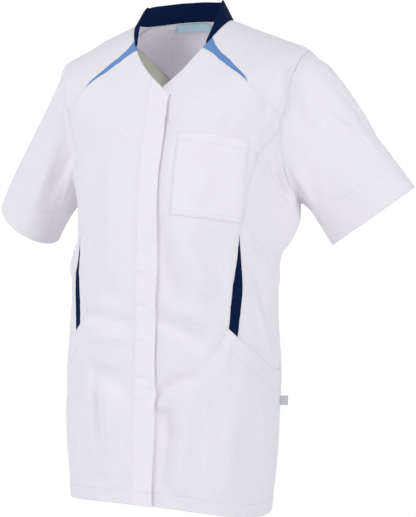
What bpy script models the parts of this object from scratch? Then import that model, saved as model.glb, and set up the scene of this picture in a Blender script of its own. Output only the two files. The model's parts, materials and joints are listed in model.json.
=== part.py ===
"""Hip-length nurse's tunic, held open in the hollow form of its wearer.

The front faces -Y, the wearer's left is +X and +Z is up. The origin is the middle of the
base of the neck, where the wearer's shoulders carry the tunic. Sizes are in millimetres
and angles in degrees until a mesh is made, which is in metres.

The cloth is one surface. A place on it is an angle round the body, 0 at the centre front,
90 at the side and 180 at the centre back, and a level, which is the height of the rings
round the body. Rings above the armpit bend up over the shoulders, and ring 0 is the
neckline. Each piece is a patch of that surface between its seams, given a thickness.
"""

import bpy
import numpy as np

MM = 0.001
LEFT, RIGHT = 1, -1

# Cloth and seams
CLOTH = 1.2
BAND = 2.4  # placket and collar, which are several layers of cloth
THIN_INSERT = 1.0
LABEL = 0.8
SEAM_GAP = 0.4  # at the middle of the cloth's thickness, which leaves about 0.3 between the faces
LAP_GAP = 0.5  # between layers that lie on each other

# Front closing
LAP = 16.0  # the placket's edge lies this far past the centre front
PLACKET_WIDTH = 34.0
LAP_COLUMNS = (-13.0, -5.0, 5.0, 20.0)  # the left front's first columns, which go on under the placket
NECK_LAP = 3.0  # further behind it at the neckline
LAP_FADE = 26.0  # degrees over which the left front comes back out from under it

# Neck and collar
NECK_CORNER = (42.5, 53.5)  # the light insert's two corners on the neckline
COLLAR_HEIGHT = 37.0  # at the sides of the neck
COLLAR_BACK = 32.0  # height at the centre back
COLLAR_LEAN = 17.0  # how far the collar's top edge leans in over the wearer's neck
COLLAR_TIP = 3.0  # height left at the collar's front ends
COLLAR_START, COLLAR_FULL = 46.5, 88.0  # angles of the front end and of the full height
COLLAR_TAPER = 0.8
COLLAR_CENTRE = 15.0  # distance back of the point that the collar leans towards
LABEL_HALF_ANGLE = 17.0
LABEL_LEVELS = (-20.0, -2.0)
TAG_LEVELS = (-597.0, -583.0)
TAG_DIRECTION = (0.9, 0.43, 0)
TAG_WIDTH = 12.0
POCKET_GAP = 0.8
YOKE_BACK = 122.0  # the angle where the yoke meets the back at the neckline

SIDE_SEAM = 93.0
POCKET_BAG = -660.0  # the level where the back of a hip pocket ends
BAG_GAP = 1.0
MOUTH_FADE = 22.0  # height over which the side piece sinks to behind the pocket's mouth
INSERT_POINT, WAIST_POINT = 6.0, 11.0  # where the inserts are cut blunt, short of the seams' meeting point

VEE_STRAIGHT = 0.6  # 1 makes the neck's V straight, less bows it
FRONT_SLOPE = 0.37  # how far the chest comes forward for each millimetre down
FRONT_COLUMNS = 13  # columns of faces across a front

SECTION_COLUMNS = (
    "level", "front_z", "side_z", "back_z", "half_width",
    "side_y", "front_y", "back_y", "wide_power", "deep_power", "vee",
)
SECTIONS = (
    # neckline, shoulder, shoulder point and chest
    (0, -115, 5, 17, 80, 26, -88, 75, 1.0, 1.2, 1.0),
    (-30, -123, -12, -3, 120, 26, -91, 90, 1.05, 1.2, 0.95),
    (-60, -131, -30, -34, 165, 28, -94, 102, 1.1, 1.15, 0.8),
    (-90, -141, -52, -72, 209, 27, -98, 110, 1.1, 1.1, 0.6),
    (-130, -158, -106, -125, 206, 20, -104, 116, 1.0, 1.0, 0.3),
    (-180, -182, -180, -180, 191, 14, -113, 115, 0.95, 0.95, 0.0),
    # armpit, waist, hip and hem
    (-240, -240, -240, -240, 185, 12, -131, 109, 0.92, 0.92, 0.0),
    (-300, -300, -300, -300, 176, 12, -138, 97, 0.90, 0.90, 0.0),
    (-380, -380, -380, -380, 166, 4, -138, 84, 0.90, 0.90, 0.0),
    (-460, -460, -460, -460, 165, 2, -136, 92, 0.90, 0.90, 0.0),
    (-545, -545, -545, -545, 170, 2, -134, 107, 0.90, 0.90, 0.0),
    (-650, -642, -650, -652, 166, 0, -135, 113, 0.90, 0.90, 0.0),
    (-758, -738, -756, -764, 158, 0, -137, 116, 0.90, 0.90, 0.0),
)
NECKLINE, HEM = SECTIONS[0][0], SECTIONS[-1][0]

# Seams seen from the front: distance from the centre front, and height
FLASH_LOWER = ((67, -59), (84, -73), (98, -84), (110, -92), (119, -99), (131, -110))
FLASH_UPPER = ((72, -46), (82, -58), (98, -72), (114, -88), (121, -95), (131, -110))
FRONT_YOKE = ((147, -127), (164, -144))  # from the insert's point to the armhole
PRINCESS = (
    (165, -197), (157, -207), (152, -221), (148, -236), (144, -252),
    (140, -272), (136, -304), (132, -329), (130, -341),
)
WAIST_FRONT = ((127, -376), (122, -420), (119, -464), (119, -479))
WAIST_SIDE = ((132, -376), (134, -420), (132, -455), (129, -491))
POCKET_MOUTH = ((129, -491), (142, -504), (156, -520), (165, -534))
POCKET_MOUTH_END = -545

# Armhole seen from the side: distance back from the side line's zero, and height
ARMHOLE_FRONT_YOKE = ((30, -52), (6, -57), (-14, -73), (-30, -104), (-38, -135), (-40, -163))
ARMHOLE_FRONT_PANEL = ((-40, -163), (-40, -179))
ARMHOLE_SIDE_FRONT = ((-40, -179), (-39, -205), (-24, -244), (4, -274), (28, -285))
ARMHOLE_BACK = ((28, -285), (52, -268), (66, -225), (70, -175), (66, -125), (58, -86))
ARMHOLE_BACK_YOKE = ((58, -86), (46, -62), (30, -52))

CHEST_POCKET = {"top": (-188, -200), "bottom": (-313, -324), "inner": (39, 35), "outer": (138, 130)}

# Columns: side, the cuff's outer, inner and front tips, and the pulls that bow the cap, the underarm and the cuff
SLEEVES = (
    (LEFT, (367, 38, -262), (244, 30, -351), (310, -4, -310), 1.2, 0.35, 0.6),
    (RIGHT, (-336, 55, -286), (-224, 50, -342), (-267, 0, -342), 0.7, 0.35, 0.6),
)
SLEEVE_ROWS = (0, 0.03, 0.09, 0.17, 0.27, 0.39, 0.52, 0.64, 0.76, 0.88, 1)
# A place on a sleeve is an angle from its top, 90 at its front, and a share of its length
# Columns: side, from_angle, from_share, to_angle, to_share, half_width, height
SLEEVE_FOLDS = (
    (LEFT, -10, -0.15, 0, 0.55, 45, 9.0),
    (LEFT, 50, 0.02, 75, 0.55, 14, -3.5),
    (LEFT, 20, 0.1, 40, 0.75, 14, 3.0),
    (RIGHT, 40, 0.05, 60, 0.7, 16, -3.5),
    (RIGHT, 80, 0.3, 95, 0.9, 16, 3.0),
)
MM_PER_TURN_DEGREE, SLEEVE_LENGTH = 1.1, 190.0  # sizes on a sleeve, for the widths of its folds
CAP_SMOOTH = 0.12  # the folds start within this share of a sleeve, so that its seam fits the armhole

# Columns: from_angle, from_level, to_angle, to_level, half_width, height
FOLDS = (
    # broad ones: the left side swells under the raised arm, and the right side and shoulder are flatter
    (-84, -40, -92, -170, 42, -9.0),
    (100, -230, 104, -360, 60, 17.0),
    (-66, -140, -66, -400, 58, -16.0),
    # wearer's left front, from the waist down to the hem
    (30, -430, 22, -720, 26, -3.5),
    (50, -520, 36, -740, 22, 4.5),
    # wearer's right front
    (-36, -190, -30, -450, 24, 3.0),
    (-50, -540, -44, -720, 22, -4.0),
    # back, from the shoulder blades to the hem
    (134, -330, 138, -700, 26, 4.0),
    (158, -300, 162, -700, 26, -4.0),
    (182, -340, 184, -700, 26, 4.0),
    (206, -300, 202, -700, 26, -3.5),
    (232, -340, 228, -700, 26, 4.0),
)
MM_PER_DEGREE = 2.6  # length of a degree round the body, for the folds' widths
HEM_TILT, TILT_FROM = 5.0, -540.0  # the hem hangs this much lower at the left seam, and higher at the right

WHITE, NAVY, BLUE, PALE, GREY = (
    (0.80, 0.80, 0.83), (0.010, 0.022, 0.075), (0.13, 0.26, 0.58), (0.66, 0.80, 0.88), (0.52, 0.52, 0.58),
)


def smooth_through(knots, values, at):
    """Values at the given places, on cubic pieces that pass smoothly through the knots."""
    knots, values = np.asarray(knots, float), np.asarray(values, float)
    if knots[0] > knots[-1]:
        knots, values = knots[::-1], values[::-1]
    at = np.clip(np.asarray(at, float), knots[0], knots[-1])
    steps = np.diff(knots)[:, None]
    rises = np.diff(values, axis=0) / steps
    inner = (rises[:-1] * steps[1:] + rises[1:] * steps[:-1]) / (steps[:-1] + steps[1:])
    slopes = np.concatenate([rises[:1], inner, rises[-1:]])
    i = np.clip(np.searchsorted(knots, at, side="right") - 1, 0, len(knots) - 2)
    step = steps[i]
    t = ((at - knots[i])[..., None]) / step
    return (
        (2 * t**3 - 3 * t**2 + 1) * values[i]
        + (t**3 - 2 * t**2 + t) * step * slopes[i]
        + (3 * t**2 - 2 * t**3) * values[i + 1]
        + (t**3 - t**2) * step * slopes[i + 1]
    )


def section_at(level):
    """The section table's columns at these levels, by name."""
    table = np.array(SECTIONS, float)
    found = smooth_through(table[:, 0], table[:, 1:], level)
    return {name: found[..., i] for i, name in enumerate(SECTION_COLUMNS[1:])}


def smooth_step(x):
    x = np.clip(x, 0, 1)
    return x * x * (3 - 2 * x)


def body_point(angle, level, side):
    """The body's surface before it is folded. A front's angle is from the centre towards its own side."""
    ring = section_at(level)
    turn = np.radians(angle)
    across, along = np.sin(turn), np.cos(turn)
    in_front = along > 0
    x = ring["half_width"] * np.sign(across) * np.abs(across) ** ring["wide_power"]
    power = np.where(in_front, ring["deep_power"], ring["wide_power"])
    reach = np.where(in_front, ring["front_y"], ring["back_y"]) - ring["side_y"]
    y = ring["side_y"] + reach * np.abs(along) ** power
    pointed = 1 - VEE_STRAIGHT * across - (1 - VEE_STRAIGHT) * across**3
    rounded = 1 - across**2
    drop = np.where(in_front, ring["front_z"], ring["back_z"]) - ring["side_z"]
    bent = np.where(in_front, ring["vee"] * (pointed - rounded) * drop, 0)
    y = y + FRONT_SLOPE * bent  # a ring that dips to a V still lies on the sloping chest
    z = ring["side_z"] + drop * rounded + bent
    z = z - HEM_TILT * side * across * smooth_step((TILT_FROM - level) / (TILT_FROM - HEM))
    return np.stack([side * x, y, z], -1)


def normal_of(point_at, angle, level, side):
    """The outward normal of a surface, from the points beside this one."""
    d_angle, d_level = 0.4, 1.0
    level = np.clip(level, HEM + d_level, NECKLINE - d_level)
    round_it = point_at(angle + d_angle, level, side) - point_at(angle - d_angle, level, side)
    up_it = point_at(angle, level + d_level, side) - point_at(angle, level - d_level, side)
    normal = np.cross(round_it, up_it) * side
    return normal / np.linalg.norm(normal, axis=-1, keepdims=True)


def ridge(off, run, half_width, height):
    """The height of one fold at places given in millimetres from where it starts, which fades out at both ends."""
    t = np.clip(off @ run / (run @ run), 0, 1)
    distance = np.linalg.norm(off - t[..., None] * run, axis=-1)
    return height * np.sin(np.pi * t) ** 0.8 * np.exp(-((distance / half_width) ** 2))


def fold_height(angle, level, side):
    """How far the folds move the cloth out at a place. The table's angles are positive on the wearer's left."""
    total = np.zeros(np.broadcast(angle, level).shape)
    for a0, l0, a1, l1, half_width, height in FOLDS:
        run = np.array([(a1 - a0) * MM_PER_DEGREE, l1 - l0])
        for signed in (side * np.asarray(angle) + turn for turn in (-360, 0, 360)):
            off = np.stack([(signed - a0) * MM_PER_DEGREE, level - l0], -1)
            total = total + ridge(off, run, half_width, height)
    return total


def folded_point(angle, level, side):
    out = normal_of(body_point, angle, level, side) * fold_height(angle, level, side)[..., None]
    return body_point(angle, level, side) + out


def cloth_point(angle, level, side, out=0.0):
    """A point of the folded cloth, moved out along its normal."""
    angle, level = np.broadcast_arrays(np.asarray(angle, float), np.asarray(level, float))
    out = np.broadcast_to(out, angle.shape)[..., None]
    return folded_point(angle, level, side) + normal_of(folded_point, angle, level, side) * out


def angle_at(x, level):
    """The angle where a ring is this far from the centre line, on the front."""
    ring = section_at(level)
    share = np.clip(np.abs(x) / ring["half_width"], 0, 1) ** (1 / ring["wide_power"])
    return np.sign(x) * np.degrees(np.arcsin(share))


def place(wanted, axis, start_angle):
    """The angle and level of the point with this distance (0 for x, 1 for y) and height, by Newton's method."""
    angle, level = float(start_angle), float(np.clip(wanted[1], HEM, -5))
    for _ in range(40):
        miss = body_point(angle, level, LEFT)[[axis, 2]] - wanted
        if np.abs(miss).max() < 1e-6:
            break
        by_angle = (body_point(angle + 0.01, level, LEFT)[[axis, 2]] - wanted - miss) / 0.01
        by_level = (body_point(angle, level - 0.01, LEFT)[[axis, 2]] - wanted - miss) / -0.01
        step = np.linalg.solve(np.stack([by_angle, by_level], 1), miss)
        step = np.clip(step, (-6, -12), (6, 12))
        angle, level = angle - step[0], min(level - step[1], -0.01)
    return angle, level


def from_front(points):
    """Places of points given by distance from the centre front and height."""
    return [place(np.array(p, float), 0, 45) for p in points]


def from_side(points):
    """Places of points given by distance back and height, near the side."""
    return [place(np.array(p, float), 1, 85 if p[0] < 10 else 100) for p in points]


def resample(places, count, first=0.0):
    """That many places along a smooth curve through the given ones: evenly spaced, or after a first short step."""
    places = np.array(places, float)
    scaled = places * (MM_PER_DEGREE, 1)
    run = np.concatenate([[0], np.cumsum(np.linalg.norm(np.diff(scaled, axis=0), axis=1))])
    fine = smooth_through(run, places, np.linspace(0, run[-1], 40 * count))
    along = np.concatenate([[0], np.cumsum(np.linalg.norm(np.diff(fine * (MM_PER_DEGREE, 1), axis=0), axis=1))])
    at = np.linspace(0, along[-1], count)
    if first:
        at = np.concatenate([[0], np.linspace(first, along[-1], count - 1)])
    return np.stack([np.interp(at, along, fine[:, i]) for i in (0, 1)], 1)


def straight(start, end, count):
    share = np.linspace(0, 1, count)[:, None]
    return np.array(start, float) * (1 - share) + np.array(end, float) * share


def chain(*runs):
    """Runs of places joined end to end, the shared ends once."""
    return np.concatenate([runs[0]] + [run[1:] for run in runs[1:]])


def lengths(places):
    run = np.linalg.norm(np.diff(places * (MM_PER_DEGREE, 1), axis=0), axis=1) + 1e-9
    return np.concatenate([[0], np.cumsum(run)]) / run.sum()


def patch(inner, outer, bottom, top):
    """Places that fill the region between four edges. The first two run upwards, the others from inner to outer."""
    t = (lengths(inner) + lengths(outer))[:, None, None] / 2
    s = (lengths(bottom) + lengths(top))[None, :, None] / 2
    between = (1 - s) * inner[:, None] + s * outer[:, None]
    along = (1 - t) * bottom[None] + t * top[None]
    corners = (1 - s) * ((1 - t) * inner[0] + t * inner[-1]) + s * ((1 - t) * outer[0] + t * outer[-1])
    return between + along - corners


def unit(vectors):
    return vectors / np.linalg.norm(vectors, axis=-1, keepdims=True)


def draw_in(places, side, edges, by=SEAM_GAP / 2):
    """Moves a patch's named edges in along the cloth, which leaves the seam's gap to the next piece."""
    moved = places.copy()
    beside = {"bottom": moved[:2], "top": moved[:-3:-1], "inner": moved.swapaxes(0, 1)[:2]}
    beside["outer"] = moved.swapaxes(0, 1)[:-3:-1]
    for edge in edges:
        here, next_in = beside[edge]
        points = body_point(*here.T, side)
        apart = body_point(*next_in.T, side) - points
        run = unit(np.gradient(points, axis=0))
        clear = np.linalg.norm(apart - run * (apart * run).sum(-1, keepdims=True), axis=-1, keepdims=True)
        here += (next_in - here) * by / np.maximum(clear, by * 2)
    return moved


def shell(name, points, thickness, material, loop=False):
    """A solid of even thickness round a grid of points. The last column of a loop joins the first."""
    rows, columns = points.shape[:2]
    faces = [
        [i * columns + j, i * columns + k, (i + 1) * columns + k, (i + 1) * columns + j]
        for i in range(rows - 1)
        for j, k in zip(range(columns), [*range(1, columns), 0] if loop else range(1, columns))
    ]
    data = bpy.data.meshes.new(name)
    data.from_pydata((points.reshape(-1, 3) * MM).tolist(), [], faces)
    data.shade_smooth()
    data.materials.append(material)
    piece = bpy.data.objects.new(name, data)
    tunic.objects.link(piece)
    solidify = piece.modifiers.new("thickness", "SOLIDIFY")
    solidify.thickness = thickness * MM
    solidify.offset = 0


def cloth_piece(name, places, side, material, gaps=(), thickness=CLOTH, out=0.0):
    """A patch of the cloth as a solid, moved out by a distance or by a function of the angle and level."""
    angle, level = np.moveaxis(draw_in(places, side, gaps), -1, 0)
    out = out(angle, level) if callable(out) else out
    shell(name, cloth_point(angle, level, side, out), thickness, material)


def tube_normals(points):
    """The outward normals of a tube whose rings are the rows of a grid."""
    down, round_it = np.gradient(points, axis=0), np.roll(points, -1, 1) - np.roll(points, 1, 1)
    found = unit(np.cross(round_it, down))
    return found * np.sign((found[-1] * (points[-1] - points[-1].mean(0))).sum())


def seam_start(edge, normals, into, direction, thickness):
    """The first points of a piece that leaves a seam in its own direction, clear of the edge it is sewn to."""
    own = unit(normals - direction * (normals * direction).sum(-1, keepdims=True))
    clear = SEAM_GAP * 0.8 + thickness / 2 * np.abs((own * into).sum(-1, keepdims=True))
    return edge + into * clear


def material_of(name, colour, roughness):
    material = bpy.data.materials.new(name)
    material.use_nodes = True
    shader = material.node_tree.nodes["Principled BSDF"]
    shader.inputs["Base Color"].default_value = (*colour, 1)
    shader.inputs["Roughness"].default_value = roughness
    shader.inputs["Metallic"].default_value = 0
    return material


for old in list(bpy.data.objects):
    bpy.data.objects.remove(old)
tunic = bpy.data.collections.new("nurse_tunic")
bpy.context.scene.collection.children.link(tunic)
white = material_of("white_twill", WHITE, 0.8)
navy = material_of("navy_twill", NAVY, 0.75)
blue = material_of("light_blue_twill", BLUE, 0.75)
pale = material_of("pale_blue_label", PALE, 0.7)
grey = material_of("grey_tag", GREY, 0.7)

# Seams as places on the cloth. They run upwards, and the armhole's runs go from the shoulder to the front
flash_lower = resample(from_front(FLASH_LOWER)[::-1] + [(NECK_CORNER[0], NECKLINE)], 8, first=INSERT_POINT)
flash_upper = resample(from_front(FLASH_UPPER)[::-1] + [(NECK_CORNER[1], NECKLINE)], 8, first=INSERT_POINT)
armhole = [
    resample(from_side(run), count)
    for run, count in (
        (ARMHOLE_FRONT_YOKE, 9), (ARMHOLE_FRONT_PANEL, 2), (ARMHOLE_SIDE_FRONT, 7),
        (ARMHOLE_BACK, 9), (ARMHOLE_BACK_YOKE, 4),
    )
]
front_junction, princess_top, armpit, back_junction = (run[-1] for run in armhole[:4])
flash_point = flash_lower[0]
front_yoke = resample([front_junction] + from_front(FRONT_YOKE)[::-1] + [flash_point], 5)
princess = resample([princess_top] + from_front(PRINCESS), 9)[::-1]
waist_point = princess[0]
waist_front = resample([waist_point] + from_front(WAIST_FRONT), 7, first=WAIST_POINT)[::-1]
waist_side = resample([waist_point] + from_front(WAIST_SIDE), 7, first=WAIST_POINT)[::-1]
mouth_end = np.array([SIDE_SEAM, POCKET_MOUTH_END])
pocket_mouth = chain(
    resample([mouth_end] + from_front(POCKET_MOUTH)[::-1], 6),
    straight(waist_side[0], waist_front[0], 2),
)
side_seam_low = straight((SIDE_SEAM, HEM), mouth_end, 9)
side_seam_high = chain(
    straight(mouth_end, (SIDE_SEAM, -310), 12),
    straight((SIDE_SEAM, -310), armpit, 4),
)
back_yoke_seam = straight(back_junction, (YOKE_BACK, NECKLINE), 12)


def neckline(start, end, count):
    return straight((start, NECKLINE), (end, NECKLINE), count)


# Fronts and placket
front_outer = chain(
    side_seam_low, pocket_mouth, waist_front, princess, armhole[1][::-1], front_yoke, flash_lower,
)
front_levels = front_outer[:, 1]


def upright(x):
    """Places on an upright line at this distance from the centre front."""
    return np.stack([angle_at(np.full(len(front_levels), x), front_levels), front_levels], 1)


def front_places(inner):
    top = neckline(inner[-1, 0], NECK_CORNER[0], FRONT_COLUMNS)
    return patch(inner, front_outer, straight(inner[0], front_outer[0], FRONT_COLUMNS), top)


def under_placket(angle, level):
    """How far the left front lies behind the cloth's surface: all of it under the placket, then less and less."""
    past = (angle - angle_at(LAP_COLUMNS[-1], level)) / LAP_FADE
    depth = BAND / 2 + BAG_GAP + CLOTH / 2 + NECK_LAP * smooth_step(1 + level / 50)
    return -depth * smooth_step(1 - past)


def behind_mouth(angle, level):
    """How far the side piece lies behind the surface: at and below its pocket's mouth it is behind the front."""
    mouth = np.interp(angle, pocket_mouth[::-1, 0], pocket_mouth[::-1, 1])
    return -(CLOTH + BAG_GAP) * smooth_step(1 - (level - mouth - 4) / MOUTH_FADE)


under = [upright(x)[:, None] for x in LAP_COLUMNS[:-1]]
left_places = np.concatenate(under + [front_places(upright(LAP_COLUMNS[-1]))], 1)
cloth_piece("front_left", left_places, LEFT, white, ("outer",), out=under_placket)
cloth_piece("front_right", front_places(upright(PLACKET_WIDTH - LAP)), RIGHT, white, ("inner", "outer"))
placket_edge, placket_seam = upright(-LAP), upright(PLACKET_WIDTH - LAP)
placket_places = patch(
    placket_edge, placket_seam,
    straight(placket_edge[0], placket_seam[0], 5), straight(placket_edge[-1], placket_seam[-1], 5),
)
cloth_piece("placket", placket_places, RIGHT, white, ("outer",), thickness=BAND)

# Chest pocket on the left front
corners = {
    (row, column): from_front([(CHEST_POCKET[column][row == "bottom"], CHEST_POCKET[row][column == "outer"])])[0]
    for row in ("top", "bottom") for column in ("inner", "outer")
}
pocket_places = patch(
    straight(corners["bottom", "inner"], corners["top", "inner"], 9),
    straight(corners["bottom", "outer"], corners["top", "outer"], 9),
    straight(corners["bottom", "inner"], corners["bottom", "outer"], 9),
    straight(corners["top", "inner"], corners["top", "outer"], 9),
)
cloth_piece(
    "chest_pocket", pocket_places, LEFT, white,
    out=lambda angle, level: under_placket(angle, level) + CLOTH + POCKET_GAP,
)

for side, word in ((LEFT, "left"), (RIGHT, "right")):
    # Side piece, which goes on down behind the front as the back of its pocket
    bag_inner = straight((waist_side[0, 0], POCKET_BAG), waist_side[0], 5)
    bag_outer = straight((SIDE_SEAM, POCKET_BAG), mouth_end, 5)
    inner = chain(bag_inner, waist_side, princess)
    outer = chain(bag_outer, side_seam_high)
    side_places = patch(inner, outer, straight(inner[0], outer[0], 7), armhole[2])
    cloth_piece(f"side_front_{word}", side_places, side, white, ("inner", "outer", "top"), out=behind_mouth)

    # Dark insert at the waist and light insert at the neck, each cut blunt near its point
    front, back = waist_front[:-1], waist_side[:-1]
    insert = patch(front, back, straight(front[0], back[0], 3), straight(front[-1], back[-1], 3))
    cloth_piece(f"waist_insert_{word}", insert, side, navy, ("inner", "outer", "bottom"), thickness=THIN_INSERT)
    low, high = flash_lower[1:], flash_upper[1:]
    insert = patch(low, high, straight(low[0], high[0], 3), neckline(*NECK_CORNER, 3))
    cloth_piece(f"neck_insert_{word}", insert, side, blue, ("inner", "outer", "top"), thickness=THIN_INSERT)

    # Yoke over the shoulder
    front_edge = chain(front_yoke, flash_upper)
    over = chain(armhole[0][::-1], armhole[4][::-1])
    yoke_places = patch(front_edge, back_yoke_seam, over, neckline(NECK_CORNER[1], YOKE_BACK, len(over)))
    cloth_piece(f"yoke_{word}", yoke_places, side, white, ("inner", "outer", "bottom", "top"))

# Back
back_inner = chain(side_seam_low, side_seam_high, armhole[3], back_yoke_seam)
back_outer = back_inner * (-1, 1) + (360, 0)
back_places = patch(
    back_inner, back_outer,
    straight(back_inner[0], back_outer[0], 19), neckline(YOKE_BACK, 360 - YOKE_BACK, 19),
)
cloth_piece("back", back_places, LEFT, white, ("inner", "outer", "top"))

# Collar, half of it and its mirror image
collar_angles = np.concatenate([np.linspace(COLLAR_START, 90, 9), np.linspace(90, 180, 9)[1:]])
base = body_point(collar_angles, NECKLINE, LEFT)
base_normals = normal_of(body_point, collar_angles, np.full(len(base), float(NECKLINE)), LEFT)
rise = base - body_point(collar_angles, NECKLINE - 2.0, LEFT)
run = unit(np.gradient(base, axis=0))
into = unit(rise - run * (rise * run).sum(-1, keepdims=True))
inward = unit((0, COLLAR_CENTRE, 0) - base * (1, 1, 0))
lean = COLLAR_LEAN / COLLAR_HEIGHT
direction = inward * lean + np.array([0, 0, 1]) * np.sqrt(1 - lean**2)
share = np.clip((collar_angles - COLLAR_START) / (COLLAR_FULL - COLLAR_START), 0, 1) ** COLLAR_TAPER
full = np.interp(collar_angles, (COLLAR_FULL, 180), (COLLAR_HEIGHT, COLLAR_BACK))
height = (COLLAR_TIP + (full - COLLAR_TIP) * share)[:, None]
start = seam_start(base, base_normals, into, unit(direction), BAND)
half = start + np.linspace(0, 1, 4)[:, None, None] * height * direction
middle = np.concatenate([half, half[:, -2::-1] * (-1, 1, 1)], 1)
shell("collar", middle, BAND, navy)

# Label inside the back, and the small tag in the left side seam
label_places = patch(
    straight((180 - LABEL_HALF_ANGLE, LABEL_LEVELS[0]), (180 - LABEL_HALF_ANGLE, LABEL_LEVELS[1]), 3),
    straight((180 + LABEL_HALF_ANGLE, LABEL_LEVELS[0]), (180 + LABEL_HALF_ANGLE, LABEL_LEVELS[1]), 3),
    straight((180 - LABEL_HALF_ANGLE, LABEL_LEVELS[0]), (180 + LABEL_HALF_ANGLE, LABEL_LEVELS[0]), 9),
    straight((180 - LABEL_HALF_ANGLE, LABEL_LEVELS[1]), (180 + LABEL_HALF_ANGLE, LABEL_LEVELS[1]), 9),
)
cloth_piece("neck_label", label_places, LEFT, pale, thickness=LABEL, out=-(CLOTH + LABEL) / 2 - LAP_GAP)
seam = cloth_point(SIDE_SEAM, np.linspace(*TAG_LEVELS, 3), LEFT, CLOTH / 2 + LAP_GAP)
tag_run = unit(np.array(TAG_DIRECTION, float))
shell("side_tag", seam[:, None] + tag_run * np.linspace(0, TAG_WIDTH, 3)[:, None], LABEL, grey)

# Sleeves
ring = chain(*armhole)[:-1]
counts = [len(run) - 1 for run in armhole]
top_to_pit = sum(counts[:3])
for side, outer_tip, inner_tip, front_tip, cap_pull, underarm_pull, cuff_pull in SLEEVES:
    edge = folded_point(*ring.T, side)
    edge_normals = normal_of(folded_point, *ring.T, side)
    run = unit(np.roll(edge, -1, 0) - np.roll(edge, 1, 0))
    into = unit(np.cross(run, edge_normals))
    into *= np.sign((into * (edge.mean(0) - edge)).sum(-1, keepdims=True))
    outer_tip, inner_tip = np.array(outer_tip, float), np.array(inner_tip, float)
    centre, wide = (outer_tip + inner_tip) / 2, (outer_tip - inner_tip) / 2
    forward = front_tip - centre
    aim = unit(np.cross(wide, forward)) * side
    direction = unit(into + aim)
    start = seam_start(edge, edge_normals, into, direction, CLOTH)
    along = np.linalg.norm(np.diff(np.concatenate([edge, edge[:1]]), axis=0), axis=1)
    along = np.concatenate([[0], np.cumsum(along)])
    turn = np.interp(along[:-1], (0, along[top_to_pit], along[-1]), (0, np.pi, 2 * np.pi))[:, None]
    cuff = centre + wide * np.cos(turn) + forward * np.sin(turn)
    reach = np.linalg.norm(cuff - start, axis=1, keepdims=True)
    high = (1 + (into * aim).sum(-1, keepdims=True)) / 2
    pull = reach * (underarm_pull + (cap_pull - underarm_pull) * high)
    t = np.array(SLEEVE_ROWS)[:, None, None]
    middle = (
        (2 * t**3 - 3 * t**2 + 1) * start + (t**3 - 2 * t**2 + t) * pull * direction
        + (3 * t**2 - 2 * t**3) * cuff + (t**3 - t**2) * reach * cuff_pull * aim
    )
    folds = np.zeros(middle.shape[:2])
    for its_side, a0, t0, a1, t1, half_width, height in SLEEVE_FOLDS:
        run = np.array([(a1 - a0) * MM_PER_TURN_DEGREE, (t1 - t0) * SLEEVE_LENGTH])
        for full_turn in (-360, 0, 360) if its_side == side else ():
            off = (np.degrees(turn[:, 0]) + full_turn - a0) * MM_PER_TURN_DEGREE
            off = np.stack(np.broadcast_arrays(off, (t[..., 0] - t0) * SLEEVE_LENGTH), -1)
            folds += ridge(off, run, half_width, height)
    folds *= smooth_step(t[..., 0] / CAP_SMOOTH)
    middle = middle + tube_normals(middle) * folds[..., None]
    shell(f"sleeve_{'left' if side == LEFT else 'right'}", middle, CLOTH, white, loop=True)
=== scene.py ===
"""Looks of a hip-length nurse's tunic, filled out with no wearer.

Each piece is a thin sheet on the same surface as its solid, with the creases, turned edges,
hems and stitches that the solid leaves out. The wearer's left is +X and the front faces -Y.
Sizes are in millimetres and angles in degrees until a mesh is made, which is in metres.
"""

import json

import bpy
import numpy as np
from mathutils import Matrix


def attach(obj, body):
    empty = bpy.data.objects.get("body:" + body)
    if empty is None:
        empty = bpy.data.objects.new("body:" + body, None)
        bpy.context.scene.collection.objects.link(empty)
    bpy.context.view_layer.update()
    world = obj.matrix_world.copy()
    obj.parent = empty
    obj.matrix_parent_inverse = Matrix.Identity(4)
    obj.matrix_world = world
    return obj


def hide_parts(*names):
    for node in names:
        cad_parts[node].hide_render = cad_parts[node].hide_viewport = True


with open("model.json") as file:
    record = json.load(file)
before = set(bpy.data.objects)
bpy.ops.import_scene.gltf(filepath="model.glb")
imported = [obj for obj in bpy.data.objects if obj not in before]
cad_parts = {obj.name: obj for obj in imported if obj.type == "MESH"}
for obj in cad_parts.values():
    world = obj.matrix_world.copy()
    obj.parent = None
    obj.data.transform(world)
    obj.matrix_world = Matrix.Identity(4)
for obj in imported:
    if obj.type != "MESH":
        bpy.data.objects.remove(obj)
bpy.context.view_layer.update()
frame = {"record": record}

MM = 0.001
LEFT, RIGHT = 1, -1

# Camera: its place round the look point, and where that point lies in the photo
PHOTO_SIZE = (416, 517)
LOOK_AT, LOOK_PIXEL = (0.0, 0.0, -330.0), (176.5, 229.6)
CAMERA_AZIMUTH, CAMERA_ELEVATION, CAMERA_ROLL = 18.8, -2.1, 1.03
CAMERA_DISTANCE, MM_PER_PIXEL = 1800.0, 1.584
SENSOR = 36.0


def turned(back, right, place):
    """The matrix of an object at a place in metres that looks away from back."""
    matrix = np.eye(4)
    matrix[:3, :3] = np.stack([right, np.cross(back, right), back], 1)
    matrix[:3, 3] = place
    return Matrix(matrix.tolist())


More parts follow.
